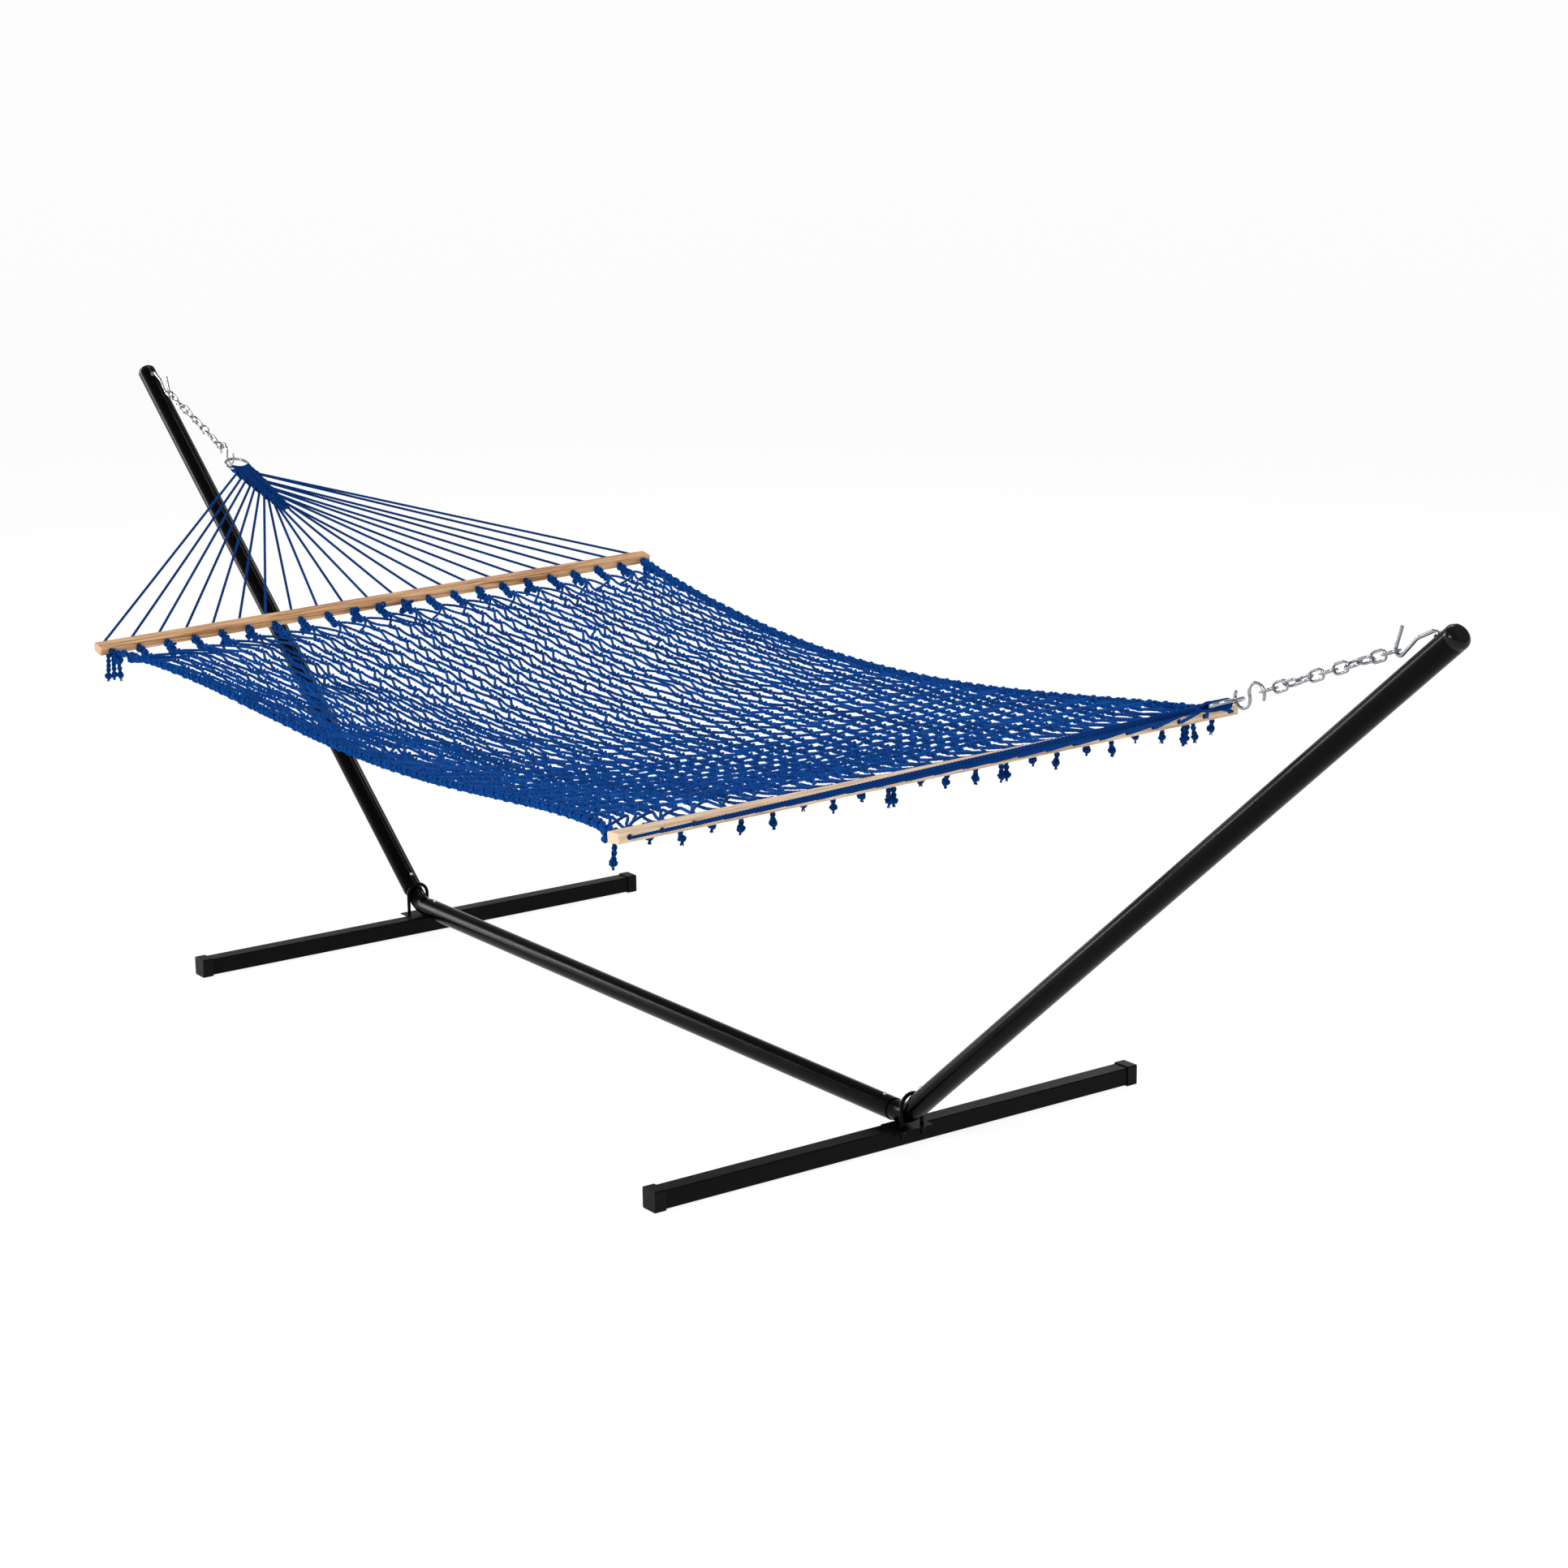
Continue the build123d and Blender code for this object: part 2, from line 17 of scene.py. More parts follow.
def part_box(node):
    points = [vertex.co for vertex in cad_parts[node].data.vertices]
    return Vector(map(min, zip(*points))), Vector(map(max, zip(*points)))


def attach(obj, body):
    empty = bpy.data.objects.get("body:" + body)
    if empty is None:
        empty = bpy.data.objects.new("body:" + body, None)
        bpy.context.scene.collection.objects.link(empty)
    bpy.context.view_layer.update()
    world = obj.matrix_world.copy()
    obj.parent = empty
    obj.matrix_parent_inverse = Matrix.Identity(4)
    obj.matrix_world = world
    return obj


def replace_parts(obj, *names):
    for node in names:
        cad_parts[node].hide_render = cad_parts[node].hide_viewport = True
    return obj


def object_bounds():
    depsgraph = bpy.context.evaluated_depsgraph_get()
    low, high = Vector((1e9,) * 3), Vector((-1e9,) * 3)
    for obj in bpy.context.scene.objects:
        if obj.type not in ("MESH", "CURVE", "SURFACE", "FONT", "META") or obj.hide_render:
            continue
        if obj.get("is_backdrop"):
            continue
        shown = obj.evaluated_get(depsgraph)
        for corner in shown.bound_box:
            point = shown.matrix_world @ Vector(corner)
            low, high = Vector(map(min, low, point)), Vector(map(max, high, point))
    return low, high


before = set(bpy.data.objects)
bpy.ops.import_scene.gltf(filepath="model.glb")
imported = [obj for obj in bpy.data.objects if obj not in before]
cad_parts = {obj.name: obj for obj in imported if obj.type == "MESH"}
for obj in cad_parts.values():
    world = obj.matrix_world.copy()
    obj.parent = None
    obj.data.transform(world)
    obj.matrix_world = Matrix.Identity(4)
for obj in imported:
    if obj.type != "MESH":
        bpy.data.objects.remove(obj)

Array = np.ndarray
LOG = logging.getLogger("hammock")
TURN = 2 * np.pi
MM = 0.001
UP = np.array((0.0, 0.0, 1.0))
HAMMOCK = "hammock"


class Side(Enum):
    """The two ends of the hammock, with their sign along X."""

    LEFT = -1
    RIGHT = 1

    @property
    def word(self) -> str:
        """The end's name as the frame's nodes have it."""
        return self.name.lower()


def unit(vectors: Array) -> Array:
    """Vectors scaled to length one along the last axis."""
    return vectors / np.linalg.norm(vectors, axis=-1, keepdims=True)


def dot(first: Array, second: Array) -> Array:
    """The dot product along the last axis, kept as a column."""
    return (first * second).sum(axis=-1, keepdims=True)


def smooth_step(share: Array) -> Array:
    """A share that leaves 0 and reaches 1 gently: 3s^2 - 2s^3."""
    held = np.clip(share, 0, 1)
    return held * held * (3 - 2 * held)


def evened(points: Array, count: int, passes: int = 0) -> Array:
    """A line resampled at equal steps, with its corners eased.

    Each easing pass moves a point to the mean of itself and its two neighbours.

    Args:
        points: The line's corners, one row each.
        count: How many points the new line has.
        passes: How often the corners are eased.

    Returns:
        The new line's points.
    """
    steps = np.linalg.norm(np.diff(points, axis=0), axis=1)
    along = np.concatenate([[0], np.cumsum(steps)])
    at = np.linspace(0, along[-1], count)
    line = np.stack([np.interp(at, along, points[:, axis]) for axis in range(3)], axis=1)
    for _ in range(passes):
        line[1:-1] = (line[:-2] + line[1:-1] + line[2:]) / 3
    return line


@dataclass(frozen=True)
class Lay:
    """A laid rope's section: lobes round a circle, which turn once in a pitch."""

    radius: float = 2.4 * MM
    depth: float = 0.13
    pitch: float = 17 * MM
    sides: int = 9
    lobes: int = 3


@dataclass
class Skein:
    """Laid ropes gathered into one mesh."""

    name: str
    points: list[Array] = field(default_factory=list)
    crests: list[Array] = field(default_factory=list)
    tones: list[Array] = field(default_factory=list)
    corners: list[Array] = field(default_factory=list)
    sizes: list[Array] = field(default_factory=list)
    places: list[Array] = field(default_factory=list)
    count: int = 0

    def add(self, lines: Array, reference: Array, lay: Lay, tones: Array | float) -> None:
        """Carries the lay's section along each line.

        The section's point at angle a lies radius * (1 + depth * cos(lobes * a)) from the line, and the
        whole section is turned by 2 pi * distance / pitch about the line's own direction.

        Args:
            lines: The lines' points, as (line, point, xyz).
            reference: The direction that angle 0 faces, for all points or for each.
            lay: The rope's section.
            tones: One shade for each line: 0 is dark, 1 is light, and below 0 is darker still.
        """
        amount, length, _ = lines.shape
        ahead = unit(np.gradient(lines, axis=1))
        facing = np.broadcast_to(reference, lines.shape)
        side = unit(facing - dot(facing, ahead) * ahead)
        other = np.cross(ahead, side)
        step = np.linalg.norm(np.diff(lines, axis=1), axis=2)
        distance = np.concatenate([np.zeros((amount, 1)), np.cumsum(step, axis=1)], axis=1)
        corner = np.arange(lay.sides) * TURN / lay.sides
        lobe = np.cos(lay.lobes * corner)
        radius = lay.radius * (1 + lay.depth * lobe)
        angle = corner + TURN * distance[..., None] / lay.pitch
        spoke = np.cos(angle)[..., None] * side[:, :, None] + np.sin(angle)[..., None] * other[:, :, None]
        rings = lines[:, :, None] + radius[:, None] * spoke
        ends = lines[:, (0, -1)]
        self.points.append(np.concatenate([rings.reshape(-1, 3), ends.reshape(-1, 3)]))
        # crest is 0 in the lay's grooves and 1 on a lobe's top; the rope's material paints shade into the
        # grooves from it.
        ring_crest = np.broadcast_to((1 + lobe) / 2, (amount, length, lay.sides)).ravel()
        self.crests.append(np.concatenate([ring_crest, np.full(2 * amount, 0.5)]))
        shade = np.broadcast_to(np.asarray(tones, float), (amount,))
        self.tones.append(np.concatenate([np.repeat(shade, length * lay.sides), np.repeat(shade, 2)]))
        self._join(amount, length, lay, distance)

    def _join(self, amount: int, length: int, lay: Lay, distance: Array) -> None:
        """Lists the faces between neighbouring rings, and a fan of triangles at each end.

        Args:
            amount: How many lines there are.
            length: How many rings each line has.
            lay: The rope's section.
            distance: How far along its line each ring lies.
        """
        sides = lay.sides
        around = TURN * lay.radius / sides
        first = self.count + (np.arange(amount) * length * sides)[:, None, None]
        ring = (np.arange(length - 1) * sides)[None, :, None]
        here = np.arange(sides)[None, None, :]
        after = (here + 1) % sides
        low_ring = first + ring
        high_ring = low_ring + sides
        quads = np.stack([low_ring + here, low_ring + after, high_ring + after, high_ring + here], axis=-1)
        low = np.broadcast_to(distance[:, :-1, None], quads.shape[:-1])
        high = np.broadcast_to(distance[:, 1:, None], quads.shape[:-1])
        left = np.broadcast_to(here * around, quads.shape[:-1])
        right = left + around
        place = np.stack([low, left, low, right, high, right, high, left], axis=-1)
        centre = self.count + amount * length * sides + np.arange(amount)[:, None] * 2
        centre = np.broadcast_to(centre, (amount, sides))
        start = first[:, 0]
        last = start + (length - 1) * sides
        near = np.stack([centre, start + after[0], start + here[0]], axis=-1)
        far = np.stack([centre + 1, last + here[0], last + after[0]], axis=-1)
        fans = np.concatenate([near.reshape(-1, 3), far.reshape(-1, 3)])
        self.corners += [quads.ravel(), fans.ravel()]
        self.sizes += [np.full(quads.size // 4, 4), np.full(len(fans), 3)]
        self.places += [place.ravel(), np.zeros(fans.size * 2)]
        self.count += amount * length * sides + 2 * amount

    def build(self, material: bpy.types.Material) -> bpy.types.Object:
        """Makes the mesh and its object, which rides with the hammock.

        Args:
            material: The rope's material.

        Returns:
            The new object.
        """
        corners = np.concatenate(self.corners)
        sizes = np.concatenate(self.sizes)
        mesh = bpy.data.meshes.new(self.name)
        mesh.vertices.add(self.count)
        mesh.vertices.foreach_set("co", np.concatenate(self.points).astype(np.float32).ravel())
        mesh.loops.add(len(corners))
        mesh.loops.foreach_set("vertex_index", corners.astype(np.int32))
        mesh.polygons.add(len(sizes))
        mesh.polygons.foreach_set("loop_start", np.concatenate([[0], np.cumsum(sizes)[:-1]]).astype(np.int32))
        mesh.update(calc_edges=True)
        mesh.polygons.foreach_set("use_smooth", np.ones(len(sizes), bool))
        for name, values in (("crest", self.crests), ("tone", self.tones)):
            attribute = mesh.attributes.new(name, "FLOAT", "POINT")
            attribute.data.foreach_set("value", np.concatenate(values).astype(np.float32))
        layer = mesh.uv_layers.new(name="rope")
        layer.data.foreach_set("uv", np.concatenate(self.places).astype(np.float32))
        piece = bpy.data.objects.new(self.name, mesh)
        bpy.context.scene.collection.objects.link(piece)
        mesh.materials.append(material)
        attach(piece, HAMMOCK)
        LOG.info("%s: %d triangles", self.name, (sizes - 2).sum())
        return piece


def linear(colour: str) -> tuple[float, float, float, float]:
    """An sRGB hex colour as linear red, green, blue and alpha."""
    values = np.array([int(colour[start : start + 2], 16) / 255 for start in (1, 3, 5)])
    light = np.where(values <= 0.04045, values / 12.92, ((values + 0.055) / 1.055) ** 2.4)
    return (*light.tolist(), 1.0)


def feed(tree: bpy.types.NodeTree, node: Any, values: dict[Any, Any]) -> None:
    """Fills a node's inputs: a plain value goes on the socket, another node's output as a link."""
    for key, value in values.items():
        if isinstance(value, bpy.types.NodeSocket):
            tree.links.new(value, node.inputs[key])
        else:
            node.inputs[key].default_value = value


def add_node(tree: bpy.types.NodeTree, kind: str, links: dict[Any, Any] | None = None,
             stops: Sequence[tuple[float, str]] = (), **settings: Any) -> Any:
    """Adds a node with its settings, input values, links and, on a colour ramp, its stops.

    Args:
        tree: The material's node tree.
        kind: The node's type name.
        links: For each input's name or number, a value or another node's output.
        stops: Each stop's place and sRGB hex colour.
        settings: The node's own properties.

    Returns:
        The new node.
    """
    node = tree.nodes.new(kind)
    for name, value in settings.items():
        setattr(node, name, value)
    for number, (place, colour) in enumerate(stops):
        element = node.color_ramp.elements[number] if number < 2 else node.color_ramp.elements.new(place)
        element.position = place
        element.color = linear(colour)
    feed(tree, node, links or {})
    return node


def new_material(name: str) -> tuple[bpy.types.Material, bpy.types.NodeTree, Any]:
    """A material with an empty principled surface, its tree and its shader."""
    material = bpy.data.materials.new(name)
    material.use_nodes = True
    tree = material.node_tree
    return material, tree, tree.nodes["Principled BSDF"]


@dataclass(frozen=True)
class PolyesterRope:
    """Spun polyester, three-strand laid, royal blue from its dye, with a soft sheen; the darkness in the
    lay's grooves is painted shade.
    """

    name: str = "spun_polyester_rope"
    # Painted shade colour for the lay's grooves.
    groove_shade: str = "#00103A"
    crest: str = "#023D84"
    pale: str = "#0754AA"
    fibre_mm: float = 0.35

    def build(self) -> bpy.types.Material:
        """The rope's material, whose fibres run along the rope's own surface."""
        material, tree, shader = new_material(self.name)
        crest = add_node(tree, "ShaderNodeAttribute", attribute_name="crest").outputs["Fac"]
        tone = add_node(tree, "ShaderNodeAttribute", attribute_name="tone").outputs["Fac"]
        place = add_node(tree, "ShaderNodeTexCoord").outputs["UV"]
        per_metre = 1 / (self.fibre_mm * MM)
        run = add_node(tree, "ShaderNodeMapping", {"Vector": place, "Scale": (per_metre / 9, per_metre, 1)})
        fibre = add_node(tree, "ShaderNodeTexNoise", {"Vector": run.outputs[0], "Scale": 1.0, "Detail": 2.0})
        own = add_node(tree, "ShaderNodeTexCoord").outputs["Object"]
        patch = add_node(tree, "ShaderNodeTexNoise", {"Vector": own, "Scale": 9.0, "Detail": 2.0})
        # The crest attribute is 0 in the lay's grooves and 1 on a lobe's top, so it darkens the grooves as
        # painted shade.
        groove_shade_share = add_node(tree, "ShaderNodeMath", {0: crest, 1: 0.62}, operation="MULTIPLY")
        # This sum carries the fibre noise and the painted shade of the grooves.
        fuzz = add_node(tree, "ShaderNodeMath", {0: fibre.outputs["Fac"], 1: 0.38, 2: groove_shade_share.outputs[0]},
                        operation="MULTIPLY_ADD")
        shade = add_node(tree, "ShaderNodeMath", {0: tone, 1: 0.35, 2: fuzz.outputs[0]},
                         operation="MULTIPLY_ADD")
        wear_and_groove_shade = add_node(tree, "ShaderNodeMath", {0: patch.outputs["Fac"], 1: 0.2, 2: shade.outputs[0]},
                        operation="MULTIPLY_ADD")
        # The ramp's dark end is the painted shade of the grooves, mixed with each strand's tone, patches and
        # fibre noise.
        dye_and_groove_shade = add_node(tree, "ShaderNodeValToRGB", {"Fac": wear_and_groove_shade.outputs[0]},
                        stops=((0.25, self.groove_shade), (0.8, self.crest), (1.0, self.pale)))
        bump = add_node(tree, "ShaderNodeBump", {"Height": fibre.outputs["Fac"], "Strength": 0.5,
                                                 "Distance": 0.25 * MM})
        feed(tree, shader, {
            "Base Color": dye_and_groove_shade.outputs["Color"], "Roughness": 0.7, "Specular IOR Level": 0.04,
            "Sheen Weight": 0.02, "Sheen Roughness": 0.5, "Sheen Tint": linear("#1F6FD0"),
            "Normal": bump.outputs[0],
        })
        return material


@dataclass(frozen=True)
class Coat:
    """A black finish: its gloss and the fine orange-peel or grain that breaks its highlight."""

    name: str
    colour: str = "#040404"
    roughness: float = 0.3
    specular: float = 0.2
    grain_mm: float = 2.5
    grain: float = 0.12
    clear: float = 0.0

    def build(self) -> bpy.types.Material:
        """The coat's material."""
        material, tree, shader = new_material(self.name)
        own = add_node(tree, "ShaderNodeTexCoord").outputs["Object"]
        peel = add_node(tree, "ShaderNodeTexNoise", {"Vector": own, "Scale": 1 / (self.grain_mm * MM),
                                                     "Detail": 2.0})
        patch = add_node(tree, "ShaderNodeTexNoise", {"Vector": own, "Scale": 14.0, "Detail": 3.0})
        gloss = add_node(tree, "ShaderNodeMapRange", {"Value": patch.outputs["Fac"], "From Min": 0.3,
                         "From Max": 0.7, "To Min": self.roughness * 0.88, "To Max": self.roughness * 1.12})
        bump = add_node(tree, "ShaderNodeBump", {"Height": peel.outputs["Fac"], "Strength": self.grain,
                                                 "Distance": 0.15 * MM})
        feed(tree, shader, {
            "Base Color": linear(self.colour), "Roughness": gloss.outputs[0],
            "Specular IOR Level": self.specular, "Coat Weight": self.clear, "Coat Roughness": 0.12,
            "Normal": bump.outputs[0],
        })
        return material


@dataclass(frozen=True)
class PlatedSteel:
    """Bright zinc or nickel plate on steel: clear reflections, faint clouding from the bath."""

    name: str
    colour: str = "#D9DBDE"
    roughness: float = 0.2
    cloud_mm: float = 4.0

    def build(self) -> bpy.types.Material:
        """The plate's material."""
        material, tree, shader = new_material(self.name)
        own = add_node(tree, "ShaderNodeTexCoord").outputs["Object"]
        cloud = add_node(tree, "ShaderNodeTexNoise", {"Vector": own, "Scale": 1 / (self.cloud_mm * MM),
                                                      "Detail": 3.0})
        gloss = add_node(tree, "ShaderNodeMapRange", {"Value": cloud.outputs["Fac"], "From Min": 0.3,
                         "From Max": 0.7, "To Min": self.roughness * 0.75, "To Max": self.roughness * 1.3})
        bump = add_node(tree, "ShaderNodeBump", {"Height": cloud.outputs["Fac"], "Strength": 0.15,
                                                 "Distance": 0.2 * MM})
        feed(tree, shader, {"Base Color": linear(self.colour), "Metallic": 1.0,
                                  "Roughness": gloss.outputs[0], "Normal": bump.outputs[0]})
        return material


@dataclass(frozen=True)
class OakBar:
    """Planed and oiled oak: straight grain along the bar, darker pores, paler sawn ends."""

    name: str
    pale: str
    middle: str
    dark: str
    end_y: float = 0.745
    ring_mm: float = 6.0
    pore_mm: float = 0.7

    def build(self) -> bpy.types.Material:
        """The wood's material, with its grain drawn out along Y."""
        material, tree, shader = new_material(self.name)
        own = add_node(tree, "ShaderNodeTexCoord").outputs["Object"]
        rings = 1 / (self.ring_mm * MM)
        pores = 1 / (self.pore_mm * MM)
        long_run = add_node(tree, "ShaderNodeMapping", {"Vector": own, "Scale": (rings, rings / 45, rings)})
        ring = add_node(tree, "ShaderNodeTexNoise", {"Vector": long_run.outputs[0], "Scale": 1.0,
                                                     "Detail": 4.0, "Distortion": 0.6})
        fine_run = add_node(tree, "ShaderNodeMapping", {"Vector": own, "Scale": (pores, pores / 40, pores)})
        pore = add_node(tree, "ShaderNodeTexNoise", {"Vector": fine_run.outputs[0], "Scale": 1.0,
                                                     "Detail": 2.0})
        grain = add_node(tree, "ShaderNodeMath", {0: pore.outputs["Fac"], 1: 0.35, 2: ring.outputs["Fac"]},
                         operation="MULTIPLY_ADD")
        figure = add_node(tree, "ShaderNodeValToRGB", {"Fac": grain.outputs[0]},
                          stops=((0.46, self.dark), (0.66, self.middle), (0.84, self.pale)))
        parts = add_node(tree, "ShaderNodeSeparateXYZ", {"Vector": own})
        reach = add_node(tree, "ShaderNodeMath", {0: parts.outputs["Y"]}, operation="ABSOLUTE")
        sawn = add_node(tree, "ShaderNodeMapRange", {"Value": reach.outputs[0],
                        "From Min": self.end_y - 2 * MM, "From Max": self.end_y})
        ends = add_node(tree, "ShaderNodeTexNoise", {"Vector": own, "Scale": 900.0, "Detail": 3.0})
        sawn_wood = add_node(tree, "ShaderNodeValToRGB", {"Fac": ends.outputs["Fac"]},
                             stops=((0.35, self.middle), (0.65, self.pale)))
        both = add_node(tree, "ShaderNodeMix", {"Factor": sawn.outputs[0], 6: figure.outputs["Color"],
                                                7: sawn_wood.outputs["Color"]}, data_type="RGBA")
        bump = add_node(tree, "ShaderNodeBump", {"Height": grain.outputs[0], "Strength": 0.35,
                                                 "Distance": 0.3 * MM})
        feed(tree, shader, {"Base Color": both.outputs[2], "Roughness": 0.5,
                                  "Specular IOR Level": 0.35, "Normal": bump.outputs[0]})
        return material


@dataclass(frozen=True)
class BedShape:
    """The net's surface: its half width and height at any place between the bars.

    With s the share of the way from the middle to a bar, the half width is
    half_width - pull_square * (1 - s^2) - pull_fourth * (1 - s^4), and the edges' sag has the same form.
    """

    end_x: float = 1.012
    half_width: float = 0.704
    pull_square: float = 0.0236
    pull_fourth: float = 0.0556
    sag_square: float = 0.121
    sag_fourth: float = -0.0477
    middle_sag: float = 0.063
    drop: float = 0.004
    tilt: tuple[float, float] = (2.0, 1.0)

    def half(self, share: Array) -> Array:
        """Half the net's width, at a share of the way from the middle (0) to a bar (1)."""
        return self.half_width - self.pull_square * (1 - share**2) - self.pull_fourth * (1 - share**4)

    def height(self, share: Array, side_share: Array) -> Array:
        """The net's height: the line between the bars, less the edges' sag and the middle's.

        The middle's own sag is middle_sag * (1 - s^2) * (1 - t^2), with t the share of the half width.

        Args:
            share: Signed share of the way from the middle to a bar.
            side_share: Signed share of the half width.

        Returns:
            The height above the floor.
        """
        mix = (1 + share) / 2
        bars = [sum(corner.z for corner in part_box("spreader_bar_" + side.word)) / 2 for side in Side]
        level = bars[0] * (1 - mix) + bars[1] * mix - self.drop
        slopes = np.tan(np.radians(self.tilt))
        level = level + (slopes[0] * (1 - mix) + slopes[1] * mix) * side_share * self.half(share)
        edge = self.sag_square * (1 - share**2) + self.sag_fourth * (1 - share**4)
        return level - edge - self.middle_sag * (1 - share**2) * (1 - side_share**2)


@dataclass(frozen=True)
class BarEnd:
    """One spreader bar's frame: its middle, and the directions out to the ring, along it and up."""

    side: Side
    roll: float
    tilt: float
    depth: float = 0.036
    holes: int = 22
    pitch: float = 0.0686

    @property
    def middle(self) -> Array:
        """The bar's middle, from its box."""
        low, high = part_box("spreader_bar_" + self.side.word)
        return np.array((low + high) / 2)

    @property
    def out(self) -> Array:
        """The direction of the holes, towards the ring."""
        roll = np.radians(self.roll)
        return np.array((self.side.value * np.cos(roll), 0, np.sin(roll)))

    @property
    def along(self) -> Array:
        """The direction along the bar, towards the back."""
        tilt = np.radians(self.tilt)
        square = np.cross(self.out, (0, 1, 0)) * self.side.value
        return np.array((0, np.cos(tilt), 0)) + square * np.sin(tilt)

    @property
    def ring(self) -> Array:
        """The ring's middle, from its box."""
        low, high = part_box("ring_" + self.side.word)
        return np.array((low + high) / 2)

    def hole(self, number: Array, outward: Array | float) -> Array:
        """Points on the holes' axes, at a distance outward from the bar's middle."""
        across = (np.asarray(number, float) - (self.holes - 1) / 2) * self.pitch
        shift = np.broadcast_to(np.asarray(outward, float), across.shape)
        return self.middle + across[..., None] * self.along + shift[..., None] * self.out


@dataclass
class RopeNet:
    """The bed: strands side by side, each twisted with one neighbour and then the other in turn.

    Every hole holds four strands. The outer two cross the next hole's before the first row of twists.
    """

    bed: BedShape
    ends: dict[Side, BarEnd]
    strands: int = 88
    rows: int = 27
    row_reach: float = 0.885
    twist_length: float = 0.033
    twist_radius: float = 3.1 * MM
    bundle_inset: float = 0.058
    bundle_length: float = 0.03
    bundle_radius: float = 4.2 * MM
    bundle_sink: float = 0.24
    edge_inset: float = 2 * MM
    cross_lift: float = 3.8 * MM
    samples: int = 29
    crowd_at_bars: float = 0.04
    crowd_in_middle: float = 0.17
    waves: int = 18
    drift_x: float = 2.4 * MM
    drift_y: float = 1.7 * MM
    slip_limit: float = 14 * MM
    loose_x: float = 3 * MM
    loose_y: float = 1.6 * MM
    loose_z: float = 0.8 * MM
    loose_length: float = 0.12
    bow: float = 0.9 * MM
    eased: float = 0.35
    open_share: float = 0.01
    open_radius: float = 7 * MM
    lay: Lay = Lay(radius=3.15 * MM, depth=0.12, pitch=17 * MM, sides=6)
    names: tuple[str, ...] = ("net_front_edge", "net_front", "net_middle", "net_back", "net_back_edge")
    cut_length: float = 2.02
    cover: float = 0.52
    seed: int = 11

    def across(self, place: Array, share: Array) -> Array:
        """A strand's signed share of the half width: its even place, crowded towards the edges.

        With t from -1 to 1 across the strands, the result is t * (1 + c) - c * t^3. The crowding c
        grows from the bars to the middle, where the net is narrowest.

        Args:
            place: The strand's number, or a place between two.
            share: Signed share of the way from the middle to a bar.

        Returns:
            The signed share of the half width.
        """
        middle = (self.strands - 1) / 2
        even = np.clip((place - middle) / middle, -1, 1)
        crowd = self.crowd_at_bars + (self.crowd_in_middle - self.crowd_at_bars) * (1 - share**2)
        return even * (1 + crowd) - crowd * even**3

    def drift(self, x: Array, y: Array, draw: np.random.Generator) -> Array:
        """How far the loose net has slipped at a place: a sum of plane waves, sin(k . (x, y) + p).

        Args:
            x: Places along the bed.
            y: Places across it.
            draw: The source of the waves' directions, lengths and starts.

        Returns:
            The slip, in shares of one wave's height.
        """
        heading, start = draw.uniform(0, TURN, (2, self.waves))
        number = TURN / draw.uniform(0.12, 0.5, self.waves)
        phase = (x[..., None] * np.cos(heading) + y[..., None] * np.sin(heading)) * number + start
        return np.sin(phase).sum(axis=-1)

    def hole_of(self, strand: Array) -> Array:
        """The hole that a strand comes from: the outer strands of each four go to the next holes."""
        step = np.array((-1, 0, 0, 1))[strand % 4]
        return np.clip(strand // 4 + step, 0, self.strands // 4 - 1)

    def twists(self, draw: np.random.Generator) -> dict[str, Array]:
        """Where each strand meets a neighbour in each row, and how it turns there.

        Args:
            draw: The source of the net's small irregularities.

        Returns:
            Arrays over rows and strands: the twist's middle, radius, length, first angle and turns.
        """
        row = np.arange(self.rows)[:, None]
        strand = np.arange(self.strands)[None, :]
        odd = row % 2
        pair = (strand + odd) // 2
        place = np.clip(2 * pair + 0.5 - odd, 0, self.strands - 1)
        hand = np.where((strand + odd) % 2 == 0, -1, 1)
        alone = (odd == 1) & ((strand == 0) | (strand == self.strands - 1))
        pairs = self.strands // 2 + 1
        shift = draw.normal(0, 1, (4, self.rows, pairs))
        opened = draw.random((self.rows, pairs)) < self.open_share
        shift_x, shift_y, shift_z, shift_turn = (layer[row, pair] for layer in shift)
        is_open = opened[row, pair] & ~alone
        even_x = (2 * row / (self.rows - 1) - 1) * self.row_reach
        even_y = self.across(place, even_x / self.bed.end_x) * self.bed.half(even_x / self.bed.end_x)
        slip_x = self.drift_x * self.drift(even_x, even_y, draw)
        slip_y = self.drift_y * self.drift(even_x, even_y, draw)
        slip_x = np.clip(slip_x, -self.slip_limit, self.slip_limit)
        x = even_x + slip_x + self.loose_x * np.clip(shift_x, -1.6, 1.6)
        share = x / self.bed.end_x
        side_share = self.across(place, share)
        inner = np.minimum(1, 6 * (1 - np.abs(side_share)))
        loose_y = self.loose_y * np.clip(shift_y, -1.6, 1.6)
        y = side_share * self.bed.half(share) + inner * (slip_y + loose_y)
        z = self.bed.height(share, side_share) + self.loose_z * np.clip(shift_z, -1.5, 1.5)
        radius = np.where(is_open, self.open_radius, self.twist_radius)
        length = self.twist_length * (1 + self.loose_length * np.clip(shift_turn, -1.5, 1.5))
        angle = np.where(hand > 0, 0.0, np.pi)
        turns = np.where(is_open | alone, 0.0, 1.0)
        return {"x": x, "y": y, "z": z, "radius": np.where(alone, 0, radius), "length": length,
                "angle": angle, "turns": turns}

    def bundle(self, side: Side) -> dict[str, Array]:
        """The four strands of each hole gathered next to a bar, as one more row of twists.

        Args:
            side: Which bar.

        Returns:
            The same arrays as twists gives, for one row.
        """
        strand = np.arange(self.strands)
        end = self.ends[side]
        mouth = end.hole(self.hole_of(strand), -end.depth / 2)
        x = np.full(self.strands, side.value * (abs(mouth[0, 0]) - self.bundle_inset))
        z = mouth[:, 2] - self.bundle_sink * self.bundle_inset
        corner = np.radians(np.array((45.0, 135.0, 315.0, 225.0)))[strand % 4]
